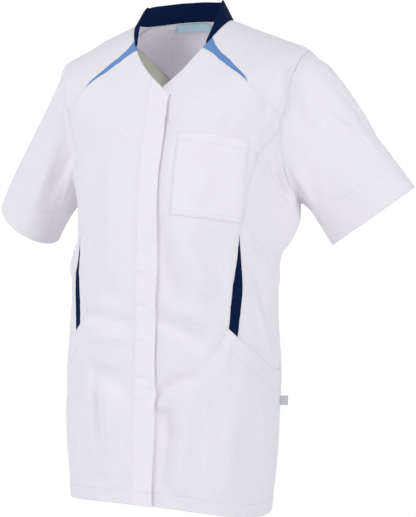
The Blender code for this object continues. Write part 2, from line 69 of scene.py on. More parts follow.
def aim_camera():
    azimuth, elevation, roll = np.radians((CAMERA_AZIMUTH, CAMERA_ELEVATION, CAMERA_ROLL))
    back = np.array([
        np.sin(azimuth) * np.cos(elevation), -np.cos(azimuth) * np.cos(elevation), np.sin(elevation),
    ])
    level = np.array([np.cos(azimuth), np.sin(azimuth), 0])
    up = np.cross(back, level)
    right = level * np.cos(roll) + up * np.sin(roll)
    data = bpy.data.cameras.new("camera")
    data.sensor_width = SENSOR
    long_side = max(PHOTO_SIZE)
    data.lens = SENSOR * CAMERA_DISTANCE / (MM_PER_PIXEL * long_side)
    data.shift_x = (PHOTO_SIZE[0] / 2 - LOOK_PIXEL[0]) / long_side
    data.shift_y = (LOOK_PIXEL[1] - PHOTO_SIZE[1] / 2) / long_side
    camera = bpy.data.objects.new("camera", data)
    camera.matrix_world = turned(back, right, (np.array(LOOK_AT) + back * CAMERA_DISTANCE) * MM)
    bpy.context.scene.collection.objects.link(camera)
    bpy.context.scene.camera = camera


aim_camera()

# Cloth
SPACING = 3.2  # between the rows and columns of a sheet
WALL = 0.6
INSERT_OUT = {"waist": -0.2, "neck": -0.1}  # the inserts lie this much lower than the cloth beside them
PLACKET_OUT = 0.6  # the placket's outer layer over the cloth's surface
POCKET_OUT = 1.5  # the chest pocket over the left front

# Front closing
LAP = 16.0
PLACKET_WIDTH = 34.0
LAP_COLUMNS = (-13.0, -5.0, 5.0, 20.0)
NECK_LAP = 3.0
LAP_FADE = 26.0
UNDER = 2.8  # the left front lies this far behind the placket's middle
NECK_DEPTH = 50.0  # the height over which the layers spread apart below the neck
EDGE_SWAY = 1.1
PLACKET_COLUMNS = 12
FACING_ANGLES, FACING_DEPTH, FACING_AIM = (1.0, 47.0), 42.0, (0.45, 0.88, 0.0)
FACING_EDGE, FACING_OUT, FACING_WALL = -0.8, -0.9, 0.5  # its edge's level, its place behind the cloth
FACING_TURNS, FACING_POWER = (0.36, 0.998), 0.8  # the part of a sine's half turn that its depth follows

# How far stitch lines lie from their edges
HEM_STITCH, SEAM_STITCH, PLACKET_STITCH, MOUTH_STITCH, SLEEVE_STITCH = 19.0, 1.8, 2.5, 33.0, 4.0

# How far the placket's free edge stands off. Columns: level, gape
GAPES = (
    (-760, 2.2), (-700, 1.2), (-640, 0.4), (-590, 2.2), (-540, 0.5), (-470, 0.3), (-430, 1.3), (-380, 0.4),
    (-330, 1.4), (-270, 0.3), (-200, 0.8), (-150, 3.4), (-118, 1.0),
)

# Neck, collar and trims
NECK_CORNER = (42.5, 53.5)
COLLAR_HEIGHT = 37.0
COLLAR_BACK = 32.0
COLLAR_LEAN = 17.0
COLLAR_TIP = 3.0
COLLAR_ROLL = 5.0  # how far its right corner rolls down
ROLL_CENTRE, ROLL_REACH, ROLL_POWER = 92, 17, 1.5  # where that is, in degrees, and how it grows upwards
COLLAR_SUNK = 0.15  # its lower edge past the neckline
COLLAR_ROWS = 13
COLLAR_START, COLLAR_FULL = 46.5, 88.0
COLLAR_TAPER = 0.8
COLLAR_CENTRE = 15.0
COLLAR_WALL = 2.0
LABEL_HALF_ANGLE = 17.0
LABEL_MORE = 3.0  # it reaches this much further to the wearer's right
LABEL_LEVELS = (-20.0, -2.0)
LABEL_OUT, LABEL_WALL = -1.6, 0.5
TAG_LEVELS = (-597.0, -583.0)
TAG_DIRECTION = (0.9, 0.43, 0)
TAG_WIDTH = 12.0
TAG_OUT, TAG_WALL = 1.1, 0.6
YOKE_BACK = 122.0
SIDE_SEAM = 93.0
SEAM_BEND = -310  # above this level the side seam slants to the armpit
POCKET_BAG = -660.0
MOUTH_FADE = 22.0
MOUTH_BACK, MOUTH_CLEAR = 2.2, 4  # how far the hip pocket's back lies behind its mouth, and up to where
INSERT_POINT, WAIST_POINT = 6.0, 11.0
VEE_STRAIGHT = 0.6
FRONT_SLOPE = 0.37

SECTION_COLUMNS = (
    "level", "front_z", "side_z", "back_z", "half_width",
    "side_y", "front_y", "back_y", "wide_power", "deep_power", "vee",
)
SECTIONS = (
    # neckline, shoulder, shoulder point and chest
    (0, -115, 5, 17, 80, 26, -88, 75, 1.0, 1.2, 1.0),
    (-30, -123, -12, -3, 120, 26, -91, 90, 1.05, 1.2, 0.95),
    (-60, -131, -30, -34, 165, 28, -94, 102, 1.1, 1.15, 0.8),
    (-90, -141, -52, -72, 209, 27, -98, 110, 1.1, 1.1, 0.6),
    (-130, -158, -106, -125, 206, 20, -104, 116, 1.0, 1.0, 0.3),
    (-180, -182, -180, -180, 191, 14, -113, 115, 0.95, 0.95, 0.0),
    # armpit, waist, hip and hem
    (-240, -240, -240, -240, 185, 12, -131, 109, 0.92, 0.92, 0.0),
    (-300, -300, -300, -300, 176, 12, -138, 97, 0.90, 0.90, 0.0),
    (-380, -380, -380, -380, 166, 4, -138, 84, 0.90, 0.90, 0.0),
    (-460, -460, -460, -460, 165, 2, -136, 92, 0.90, 0.90, 0.0),
    (-545, -545, -545, -545, 170, 2, -134, 107, 0.90, 0.90, 0.0),
    (-650, -642, -650, -652, 166, 0, -135, 113, 0.90, 0.90, 0.0),
    (-758, -738, -756, -764, 158, 0, -137, 116, 0.90, 0.90, 0.0),
)
NECKLINE, HEM = SECTIONS[0][0], SECTIONS[-1][0]

# Seams seen from the front: distance from the centre front, and height
FLASH_LOWER = ((67, -59), (84, -73), (98, -84), (110, -92), (119, -99), (131, -110))
FLASH_UPPER = ((72, -46), (82, -58), (98, -72), (114, -88), (121, -95), (131, -110))
FRONT_YOKE = ((147, -127), (164, -144))  # from the insert's point to the armhole
PRINCESS = (
    (165, -197), (157, -207), (152, -221), (148, -236), (144, -252),
    (140, -272), (136, -304), (132, -329), (130, -341),
)
WAIST_FRONT = ((127, -376), (122, -420), (119, -464), (119, -479))
WAIST_SIDE = ((132, -376), (134, -420), (132, -455), (129, -491))
POCKET_MOUTH = ((129, -491), (142, -504), (156, -520), (165, -534))
POCKET_MOUTH_END = -545

# Armhole seen from the side: distance back from the side line's zero, and height
ARMHOLE_FRONT_YOKE = ((30, -52), (6, -57), (-14, -73), (-30, -104), (-38, -135), (-40, -163))
ARMHOLE_FRONT_PANEL = ((-40, -163), (-40, -179))
ARMHOLE_SIDE_FRONT = ((-40, -179), (-39, -205), (-24, -244), (4, -274), (28, -285))
ARMHOLE_BACK = ((28, -285), (52, -268), (66, -225), (70, -175), (66, -125), (58, -86))
ARMHOLE_BACK_YOKE = ((58, -86), (46, -62), (30, -52))

CHEST_POCKET = {"top": (-188, -200), "bottom": (-313, -324), "inner": (39, 35), "outer": (138, 130)}

# Columns: side, the cuff's outer, inner and front tips, and the pulls that bow the cap, the
# underarm and the cuff
SLEEVES = (
    (LEFT, (367, 38, -262), (244, 30, -351), (310, -4, -310), 1.2, 0.35, 0.6),
    (RIGHT, (-336, 55, -286), (-224, 50, -342), (-267, 0, -342), 0.7, 0.35, 0.6),
)
# A place on a sleeve is an angle from its top, 90 at its front, and a share of its length
# Columns: side, from_angle, from_share, to_angle, to_share, half_width, height
SLEEVE_FOLDS = (
    (LEFT, -10, -0.15, 0, 0.55, 45, 9.0),
    (LEFT, 50, 0.02, 75, 0.55, 14, -3.5),
    (LEFT, 20, 0.1, 40, 0.75, 14, 3.0),
    (RIGHT, 40, 0.05, 60, 0.7, 16, -3.5),
    (RIGHT, 80, 0.3, 95, 0.9, 16, 3.0),
)
MM_PER_TURN_DEGREE, SLEEVE_LENGTH = 1.1, 190.0  # sizes on a sleeve, for the widths of its folds
CAP_SMOOTH = 0.12  # the folds start within this share of a sleeve, so that its seam fits the armhole
SLEEVE_HEM = 58.0  # from the cuff to the hem's stitch line

# Columns: from_angle, from_level, to_angle, to_level, half_width, height
FOLDS = (
    # broad ones: the left side swells under the raised arm, and the right side and shoulder are flatter
    (-84, -40, -92, -170, 42, -9.0),
    (100, -230, 104, -360, 60, 17.0),
    (-66, -140, -66, -400, 58, -16.0),
    # wearer's left front, from the waist down to the hem
    (30, -430, 22, -720, 26, -3.5),
    (50, -520, 36, -740, 22, 4.5),
    # wearer's right front
    (-36, -190, -30, -450, 24, 3.0),
    (-50, -540, -44, -720, 22, -4.0),
    # back, from the shoulder blades to the hem
    (134, -330, 138, -700, 26, 4.0),
    (158, -300, 162, -700, 26, -4.0),
    (182, -340, 184, -700, 26, 4.0),
    (206, -300, 202, -700, 26, -3.5),
    (232, -340, 228, -700, 26, 4.0),
)
MM_PER_DEGREE = 2.6  # length of a degree round the body, for the folds' widths
HEM_TILT, TILT_FROM = 5.0, -540.0  # the hem hangs this much lower at the left seam, and higher at the right


def smooth_through(knots, values, at):
    """Values at the given places, on cubic pieces that pass smoothly through the knots."""
    knots, values = np.asarray(knots, float), np.asarray(values, float)
    if knots[0] > knots[-1]:
        knots, values = knots[::-1], values[::-1]
    at = np.clip(np.asarray(at, float), knots[0], knots[-1])
    steps = np.diff(knots)[:, None]
    rises = np.diff(values, axis=0) / steps
    inner = (rises[:-1] * steps[1:] + rises[1:] * steps[:-1]) / (steps[:-1] + steps[1:])
    slopes = np.concatenate([rises[:1], inner, rises[-1:]])
    i = np.clip(np.searchsorted(knots, at, side="right") - 1, 0, len(knots) - 2)
    step = steps[i]
    t = ((at - knots[i])[..., None]) / step
    return (
        (2 * t**3 - 3 * t**2 + 1) * values[i]
        + (t**3 - 2 * t**2 + t) * step * slopes[i]
        + (3 * t**2 - 2 * t**3) * values[i + 1]
        + (t**3 - t**2) * step * slopes[i + 1]
    )


def section_at(level):
    """The section table's columns at these levels, by name."""
    table = np.array(SECTIONS, float)
    found = smooth_through(table[:, 0], table[:, 1:], level)
    return {name: found[..., i] for i, name in enumerate(SECTION_COLUMNS[1:])}


def smooth_step(x):
    x = np.clip(x, 0, 1)
    return x * x * (3 - 2 * x)


def body_point(angle, level, side):
    """The body's surface before it is folded. A front's angle is from the centre towards its own side."""
    ring = section_at(level)
    turn = np.radians(angle)
    across, along = np.sin(turn), np.cos(turn)
    in_front = along > 0
    x = ring["half_width"] * np.sign(across) * np.abs(across) ** ring["wide_power"]
    power = np.where(in_front, ring["deep_power"], ring["wide_power"])
    reach = np.where(in_front, ring["front_y"], ring["back_y"]) - ring["side_y"]
    y = ring["side_y"] + reach * np.abs(along) ** power
    pointed = 1 - VEE_STRAIGHT * across - (1 - VEE_STRAIGHT) * across**3
    rounded = 1 - across**2
    drop = np.where(in_front, ring["front_z"], ring["back_z"]) - ring["side_z"]
    bent = np.where(in_front, ring["vee"] * (pointed - rounded) * drop, 0)
    y = y + FRONT_SLOPE * bent  # a ring that dips to a V still lies on the sloping chest
    z = ring["side_z"] + drop * rounded + bent
    z = z - HEM_TILT * side * across * smooth_step((TILT_FROM - level) / (TILT_FROM - HEM))
    return np.stack([side * x, y, z], -1)


def normal_of(point_at, angle, level, side):
    """The outward normal of a surface, from the points beside this one."""
    d_angle, d_level = 0.4, 1.0
    level = np.clip(level, HEM + d_level, NECKLINE - d_level)
    round_it = point_at(angle + d_angle, level, side) - point_at(angle - d_angle, level, side)
    up_it = point_at(angle, level + d_level, side) - point_at(angle, level - d_level, side)
    normal = np.cross(round_it, up_it) * side
    return normal / np.linalg.norm(normal, axis=-1, keepdims=True)


def ridge(off, run, half_width, height):
    """The height of one fold, at places in millimetres from its start. It fades out at both ends."""
    t = np.clip(off @ run / (run @ run), 0, 1)
    distance = np.linalg.norm(off - t[..., None] * run, axis=-1)
    return height * np.sin(np.pi * t) ** 0.8 * np.exp(-((distance / half_width) ** 2))


def fold_height(angle, level, side):
    """How far the folds move the cloth out. The table's angles are positive on the wearer's left."""
    total = np.zeros(np.broadcast(angle, level).shape)
    for a0, l0, a1, l1, half_width, height in FOLDS:
        run = np.array([(a1 - a0) * MM_PER_DEGREE, l1 - l0])
        for signed in (side * np.asarray(angle) + turn for turn in (-360, 0, 360)):
            off = np.stack([(signed - a0) * MM_PER_DEGREE, level - l0], -1)
            total = total + ridge(off, run, half_width, height)
    return total


def folded_point(angle, level, side):
    out = normal_of(body_point, angle, level, side) * fold_height(angle, level, side)[..., None]
    return body_point(angle, level, side) + out


def cloth_point(angle, level, side, out=0.0):
    """A point of the folded cloth, moved out along its normal."""
    angle, level = np.broadcast_arrays(np.asarray(angle, float), np.asarray(level, float))
    out = np.broadcast_to(out, angle.shape)[..., None]
    return folded_point(angle, level, side) + normal_of(folded_point, angle, level, side) * out


def angle_at(x, level):
    """The angle where a ring is this far from the centre line, on the front."""
    ring = section_at(level)
    share = np.clip(np.abs(x) / ring["half_width"], 0, 1) ** (1 / ring["wide_power"])
    return np.sign(x) * np.degrees(np.arcsin(share))


def place(wanted, axis, start_angle):
    """The angle and level of the point with this distance (0 for x, 1 for y) and height, by Newton's way."""
    angle, level = float(start_angle), float(np.clip(wanted[1], HEM, -5))
    small = 0.01
    for _ in range(40):
        miss = body_point(angle, level, LEFT)[[axis, 2]] - wanted
        if np.abs(miss).max() < 1e-6:
            break
        by_angle = (body_point(angle + small, level, LEFT)[[axis, 2]] - wanted - miss) / small
        by_level = (body_point(angle, level - small, LEFT)[[axis, 2]] - wanted - miss) / -small
        step = np.linalg.solve(np.stack([by_angle, by_level], 1), miss)
        step = np.clip(step, (-6, -12), (6, 12))
        angle, level = angle - step[0], min(level - step[1], -small)
    return angle, level


def from_front(points):
    """Places of points given by distance from the centre front and height."""
    return [place(np.array(p, float), 0, 45) for p in points]


def from_side(points):
    """Places of points given by distance back and height, near the side."""
    return [place(np.array(p, float), 1, 85 if p[0] < 10 else 100) for p in points]


def resample(places, count, first=0.0):
    """That many places along a smooth curve through the given ones, evenly or after a first short step."""
    places = np.array(places, float)
    scaled = places * (MM_PER_DEGREE, 1)
    run = np.concatenate([[0], np.cumsum(np.linalg.norm(np.diff(scaled, axis=0), axis=1))])
    fine = smooth_through(run, places, np.linspace(0, run[-1], 40 * count))
    steps = np.linalg.norm(np.diff(fine * (MM_PER_DEGREE, 1), axis=0), axis=1)
    along = np.concatenate([[0], np.cumsum(steps)])
    at = np.linspace(0, along[-1], count)
    if first:
        at = np.concatenate([[0], np.linspace(first, along[-1], count - 1)])
    return np.stack([np.interp(at, along, fine[:, i]) for i in (0, 1)], 1)


def straight(start, end, count):
    share = np.linspace(0, 1, count)[:, None]
    return np.array(start, float) * (1 - share) + np.array(end, float) * share


def chain(*runs):
    """Runs of places joined end to end, the shared ends once."""
    return np.concatenate([runs[0]] + [run[1:] for run in runs[1:]])


def lengths(places):
    run = np.linalg.norm(np.diff(places * (MM_PER_DEGREE, 1), axis=0), axis=1) + 1e-9
    return np.concatenate([[0], np.cumsum(run)]) / run.sum()


def patch(inner, outer, bottom, top):
    """Places that fill the region between four edges.

    The first two edges run upwards, and the others from inner to outer.
    """
    t = (lengths(inner) + lengths(outer))[:, None, None] / 2
    s = (lengths(bottom) + lengths(top))[None, :, None] / 2
    between = (1 - s) * inner[:, None] + s * outer[:, None]
    along = (1 - t) * bottom[None] + t * top[None]
    corners = (1 - s) * ((1 - t) * inner[0] + t * inner[-1]) + s * ((1 - t) * outer[0] + t * outer[-1])
    return between + along - corners


def ends(inner, outer, count):
    """The bottom and top edges between two edges that run upwards."""
    return straight(inner[0], outer[0], count), straight(inner[-1], outer[-1], count)


def unit(vectors):
    return vectors / np.linalg.norm(vectors, axis=-1, keepdims=True)


CREASE_DEPTH = 1.55  # scales every height in this table
# Creases on the body, finer than the solid's folds: positive angles are on the wearer's left.
# Columns: from_angle, from_level, by_angle, by_level, to_angle, to_level, half_width, height, lean
CREASES = (
    # right front
    (-19, -206, -17, -322, -21, -430, 15, 4.2, 0.0),
    (-27, -214, -26, -322, -29, -366, 13, -2.0, 0.0),
    (-9, -176, -9, -440, -9, -744, 13, -2.2, 0.0),
    (-25, -158, -13, -188, -4, -216, 10, -2.6, 0.2),
    (-28, -340, -36, -374, -41, -416, 5, 2.6, 0.3),
    (-30, -430, -38, -460, -44, -474, 5, 2.6, 0.3),
    (-47, -474, -22, -472, -2, -492, 13, -4.6, 0.3),
    (-30, -420, -18, -436, -9, -462, 17, -3.2, 0.0),
    (-37, -496, -19, -496, -6, -484, 10, 2.5, 0.0),
    (-34, -544, -18, -554, -3, -576, 15, -4.0, 0.0),
    (-26, -560, -14, -572, -3, -594, 7, -2.0, 0.0),
    (-33, -524, -27, -592, -23, -690, 9, -4.6, 0.2),
    (-22, -570, -17, -640, -22, -730, 12, 3.4, 0.0),
    (-10, -678, -6, -706, -12, -736, 6, 1.6, 0.0),
    (-46, -510, -48, -598, -46, -720, 13, -3.6, 0.0),
    # placket
    (-4, -336, -1, -346, 2, -344, 5, 1.4, 0.0),
    (-5, -362, -2, -368, 2, -372, 5, -1.2, 0.0),
    (-6, -388, -2, -396, 2, -392, 5, 1.5, 0.0),
    (-6, -440, -2, -448, 2, -448, 6, -1.8, 0.0),
    (-6, -484, -1, -494, 3, -488, 6, 1.5, 0.0),
    (-6, -562, -1, -556, 2, -566, 6, -1.8, 0.0),
    (-6, -582, 0, -584, 2, -590, 6, 1.6, 0.0),
    # left front
    (20, -212, 24, -268, 22, -306, 14, 4.4, 0.0),
    (33, -232, 36, -268, 34, -306, 11, -0.9, 0.0),
    (15, -322, 23, -384, 36, -448, 15, 5.0, 0.0),
    (28, -330, 36, -382, 43, -440, 11, -3.4, 0.0),
    (6, -300, 9, -390, 18, -466, 13, -4.2, 0.0),
    (0, -454, 16, -484, 36, -514, 14, -5.2, 0.3),
    (9, -452, 22, -460, 31, -484, 9, 2.0, 0.0),
    (47, -480, 41, -510, 37, -560, 7, 2.6, 0.0),
    (46, -470, 38, -500, 29, -548, 9, -4.4, 0.2),
    (34, -512, 34, -546, 33, -580, 6, 1.8, 0.0),
    (40, -512, 41, -548, 40, -586, 6, 1.8, 0.0),
    (0, -594, 12, -566, 27, -546, 10, -5.4, 0.2),
    (6, -594, 9, -626, 15, -664, 11, -2.8, 0.0),
    (6, -588, 12, -582, 19, -578, 5, 2.0, 0.0),
    (22, -542, 20, -646, 18, -748, 13, 5.0, 0.0),
    (10, -586, 10, -664, 8, -746, 12, -5.0, 0.0),
    (31, -570, 31, -660, 29, -738, 13, -3.4, 0.0),
    (55, -604, 57, -664, 57, -730, 16, -2.8, 0.0),
    (43, -590, 45, -672, 44, -738, 14, 3.4, 0.0),
    (68, -578, 70, -628, 76, -704, 9, 2.6, 0.0),
    (27, -154, 38, -180, 51, -204, 8, -3.2, 0.2),
    (36, -158, 46, -180, 58, -198, 7, 2.0, 0.0),
    # left side
    (50, -206, 56, -228, 62, -258, 10, -3.4, 0.2),
    (48, -218, 55, -212, 62, -198, 6, -1.4, 0.0),
    (52, -242, 59, -234, 66, -222, 6, 1.2, 0.0),
    (60, -206, 71, -246, 84, -286, 10, -7.0, 0.0),
    (70, -232, 78, -262, 86, -292, 6, -5.0, 0.0),
    (96, -276, 101, -326, 103, -396, 22, 3.0, 0.0),
    (50, -344, 62, -362, 80, -414, 7, 3.4, 0.3),
    (62, -436, 70, -482, 77, -524, 6, 3.0, 0.3),
    (72, -362, 83, -380, 98, -418, 5, 2.5, 0.2),
    (58, -380, 68, -422, 74, -464, 7, -3.0, 0.0),
    # yokes
    (56, -86, 60, -132, 65, -164, 8, 2.5, 0.0),
    (46, -108, 52, -148, 53, -180, 8, -1.6, 0.0),
    (-56, -94, -56, -126, -55, -158, 8, 2.0, 0.0),
    # wearer's right side, out of the photo's view
    (-54, -196, -60, -214, -68, -232, 7, -3.2, 0.2),
    (-52, -226, -62, -222, -74, -206, 5, 2.0, 0.0),
    (-60, -262, -70, -282, -84, -310, 9, -4.5, 0.0),
    (-56, -352, -68, -376, -82, -402, 7, 3.0, 0.3),
    (-64, -420, -74, -458, -86, -498, 7, -3.2, 0.2),
    (-70, -372, -80, -410, -90, -452, 6, 2.6, 0.0),
    (-60, -560, -62, -640, -60, -730, 12, -3.0, 0.0),
    (-74, -590, -78, -650, -76, -736, 11, 2.8, 0.0),
    # back: from the shoulder blades to the armholes
    (156, -110, 144, -176, 130, -236, 14, -3.6, 0.0),
    (208, -118, 222, -170, 236, -222, 12, -3.2, 0.0),
    (164, -36, 168, -100, 160, -190, 16, 2.4, 0.0),
    (198, -30, 194, -116, 203, -204, 18, -2.0, 0.0),
    (108, -236, 124, -262, 148, -276, 8, -3.0, 0.2),
    (104, -262, 120, -292, 138, -306, 7, 2.4, 0.0),
    (252, -232, 238, -258, 214, -270, 8, -3.2, 0.2),
    (256, -268, 244, -290, 226, -300, 7, 2.6, 0.0),
    # back: across the waist
    (124, -392, 148, -410, 174, -396, 9, -3.6, 0.3),
    (188, -402, 214, -420, 240, -402, 10, -3.8, 0.3),
    (138, -440, 160, -452, 184, -438, 10, 2.8, 0.0),
    (204, -448, 224, -456, 246, -436, 9, 2.6, 0.0),
    (164, -360, 184, -370, 206, -358, 10, 2.2, 0.0),
    (106, -420, 116, -450, 124, -490, 7, 2.8, 0.2),
    (256, -414, 248, -452, 238, -494, 8, 2.6, 0.2),
    # back: down to the hem
    (160, -476, 158, -600, 153, -744, 18, 5.0, 0.0),
    (187, -506, 190, -620, 195, -746, 20, -4.6, 0.0),
    (213, -480, 217, -594, 214, -736, 15, 4.0, 0.0),
    (134, -520, 132, -622, 128, -742, 16, -3.6, 0.0),
    (236, -540, 240, -640, 243, -740, 14, -3.0, 0.0),
    (112, -560, 112, -650, 108, -738, 12, 2.6, 0.0),
)


def crease_height(angle, level):
    """How far the creases move the cloth at signed angles and levels. Lean widens one side of a crease."""
    total = np.zeros(angle.shape)
    for a0, l0, a1, l1, a2, l2, half_width, height, lean in CREASES:
        ends = np.array([(a0, l0), (a1, l1), (a2, l2)], float) * (MM_PER_DEGREE, 1)
        t = np.linspace(0, 1, 13)[:, None]
        bend = 2 * ends[1] - (ends[0] + ends[2]) / 2
        path = (1 - t) ** 2 * ends[0] + 2 * t * (1 - t) * bend + t**2 * ends[2]
        reach = 4 * half_width
        for full_turn in (-360, 0, 360):
            places = np.stack([(angle + full_turn) * MM_PER_DEGREE, level], -1)
            near = ((places > path.min(0) - reach) & (places < path.max(0) + reach)).all(-1)
            if near.any():
                total[near] += crease_at(places[near], path, half_width, height, lean)
    return total


def crease_at(places, path, half_width, height, lean):
    """One crease's height at places near its path."""
    off, run = places[:, None] - path[:-1], np.diff(path, axis=0)
    share = np.clip((off * run).sum(-1) / (run * run).sum(-1), 0, 1)
    apart = off - share[..., None] * run
    distance = np.linalg.norm(apart, axis=-1)
    best = distance.argmin(1)
    pick = np.arange(len(best)), best
    across = run[best, 0] * apart[pick][:, 1] - run[best, 1] * apart[pick][:, 0]
    width = half_width * (1 + lean * np.sign(across))
    along = (best + share[pick]) / len(run)
    to_end = np.minimum(along, 1 - along) * np.linalg.norm(run, axis=1).sum()
    fade = np.sin(np.pi * along) ** 0.7 * smooth_step(to_end / (2 * half_width))
    return CREASE_DEPTH * height * fade * np.exp(-((distance[pick] / width) ** 2))


# A sheet is a grid whose columns of numbers are these
ANGLE, LEVEL, OUT, INNER, OUTER, BOTTOM, TOP = range(7)
EDGES = {"inner": INNER, "outer": OUTER, "bottom": BOTTOM, "top": TOP}
# Edge finishes: rows (distance back into the piece, height) past the edge, at it and before it
SEAM = (tuple((0, down) for down in np.linspace(-3.2, -0.8, 10)), -0.28, ((0.7, -0.1), (1.7, -0.02)))
FOLDED_BACK = tuple((back, -0.9) for back in (30, 25.5, 21, 17, 13, 9, 5.5, 2.5))
FOLD = ((*FOLDED_BACK, (0.8, -0.85), (0.2, -0.7)), -0.45, ((0.3, -0.15), (1.2, 0.0)))
TURNED = len(SEAM[0])  # rows past an edge
HEM_FOLD, NARROW_FOLD = 0.66, 0.5  # how far back a hem and a narrow fold reach, as shares of a front's
FAR = 99.0  # farther from any stitch line than its dip reaches
PUCKER_REACH = 9.0
THREAD_OUT, TRACED_OUT = 0.05, 0.15  # the stitches' height over the cloth's face


def count_of(length):
    return max(3, round(length / SPACING) + 1)


def run_length(places, side=LEFT):
    return np.linalg.norm(np.diff(body_point(*np.array(places, float).T, side), axis=0), axis=1).sum()


def facing(grid, edge):
    """The grid turned so that its first row is that edge."""
    across = grid.swapaxes(0, 1)
    return {"bottom": grid, "top": grid[::-1], "inner": across, "outer": across[::-1]}[edge]


def measured(places, side, out=0.0):
    """A sheet from its places: with its height and its distances from its four edges."""
    points = body_point(places[..., 0], places[..., 1], side)
    down = np.linalg.norm(np.diff(points, axis=0), axis=-1)
    over = np.linalg.norm(np.diff(points, axis=1), axis=-1)
    bottom = np.concatenate([0 * down[:1], np.cumsum(down, 0)])
    inner = np.concatenate([0 * over[:, :1], np.cumsum(over, 1)], 1)
    columns = [places[..., 0], places[..., 1], np.broadcast_to(out, bottom.shape)]
    columns += [inner, inner[:, -1:] - inner, bottom, bottom[-1:] - bottom]
    return np.stack(columns, -1)


def row_at(rows, run, back, under):
    """The row this far in from the first one, and lower by this much. Both may differ along it."""
    back = np.broadcast_to(back, run.shape[1:])
    i = np.clip((run <= back).sum(0) - 1, 0, len(run) - 2)
    j = np.arange(len(back))
    share = np.clip((back - run[i, j]) / np.maximum(run[i + 1, j] - run[i, j], 1e-9), 0, 1)[:, None]
    row = rows[i, j] * (1 - share) + rows[i + 1, j] * share
    row[:, OUT] += under
    return row


def finished(grid, side, edge, folded=0.0, depth=1.0):
    """Gives an edge its turning: pressed into a seam, or folded back behind where folded is 1.

    Depth scales how far the fold reaches back.
    """
    rows = facing(grid, edge)
    points = body_point(rows[..., ANGLE], rows[..., LEVEL], side)
    run = np.linalg.norm(np.diff(points, axis=0), axis=-1)
    run = np.concatenate([0 * run[:1], np.cumsum(run, 0)])

    def mix(seam, fold):
        return seam + (fold - seam) * folded

    made = [
        row_at(rows, run, mix(s[0], f[0] * (depth if f[0] > 1 else 1)), mix(s[1], f[1]))
        for s, f in zip(SEAM[0], FOLD[0])
    ]
    made.append(row_at(rows, run, 0, mix(SEAM[1], FOLD[1])))
    made += [row_at(rows, run, mix(s[0], f[0]), mix(s[1], f[1])) for s, f in zip(SEAM[2], FOLD[2])]
    whole = np.concatenate([made, rows[1:]])
    if edge in ("top", "outer"):
        whole = whole[::-1]
    return whole.swapaxes(0, 1) if edge in ("inner", "outer") else whole


def turned_edges(grid, side, finishes):
    """Gives a sheet its edges in turn, each from its name and, where it is folded, how much and how far."""
    for finish in finishes:
        grid = finished(grid, side, *finish)
    return grid


ALL_SEAMS = tuple((edge,) for edge in EDGES)


def wander(along, seed, waves=((31.0, 0.5), (17.0, 0.35), (9.5, 0.15))):
    """A smooth uneven line of about -1 to 1, for the puckers beside a seam."""
    random = np.random.default_rng(seed)
    total = 0
    for length, share in waves:
        stretch = random.uniform(0.85, 1.2)
        total = total + share * np.sin(2 * np.pi * along / (length * stretch) + random.uniform(0, 6.28))
    return total


def grid_normals(points, outward):
    """Normals of a grid of points, on the same side as the given directions."""
    normals = np.cross(np.gradient(points, axis=1), np.gradient(points, axis=0))
    normals /= np.linalg.norm(normals, axis=-1, keepdims=True) + 1e-12
    return normals * np.sign((normals * outward).sum(-1, keepdims=True) + 1e-12)


pieces, stitch_paths = {}, {}


def make_mesh(name, points, material, wall, lines=(), weld=False):
    """A sheet as an object, with its map in metres along the cloth and its distances from stitch lines."""
    rows, columns = points.shape[:2]
    faces = [
        (i * columns + j, i * columns + j + 1, (i + 1) * columns + j + 1, (i + 1) * columns + j)
        for i in range(rows - 1) for j in range(columns - 1)
    ]
    down = np.linalg.norm(np.diff(points, axis=0), axis=-1)
    over = np.linalg.norm(np.diff(points, axis=1), axis=-1)
    u = np.concatenate([0 * over[:, :1], np.cumsum(over, 1)], 1)
    v = np.concatenate([0 * down[:1], np.cumsum(down, 0)])
    u, v = u - u[:, columns // 2, None], v - v[rows // 2]
    data = bpy.data.meshes.new(name)
    data.from_pydata((points.reshape(-1, 3) * MM).tolist(), [], faces)
    corner = np.array(faces).ravel()
    chart = data.uv_layers.new(name="cloth")
    chart.data.foreach_set("uv", (np.stack([u.ravel()[corner], v.ravel()[corner]], -1) * MM).ravel())
    lines = list(lines) + [np.full((rows, columns), FAR)] * (6 - len(lines))
    for slot, three in (("stitches_a", lines[:3]), ("stitches_b", lines[3:6])):
        attribute = data.attributes.new(slot, "FLOAT_VECTOR", "POINT")
        attribute.data.foreach_set("vector", np.stack(three, -1).astype(np.float32).ravel())
    data.shade_smooth()
    data.materials.append(material)
    piece = bpy.data.objects.new(name, data)
    bpy.context.scene.collection.objects.link(piece)
    if weld:
        piece.modifiers.new("closed", "WELD").merge_threshold = 0.00002
    solidify = piece.modifiers.new("wall", "SOLIDIFY")
    solidify.thickness, solidify.offset = wall * MM, 0
    pieces[name] = piece
    return piece


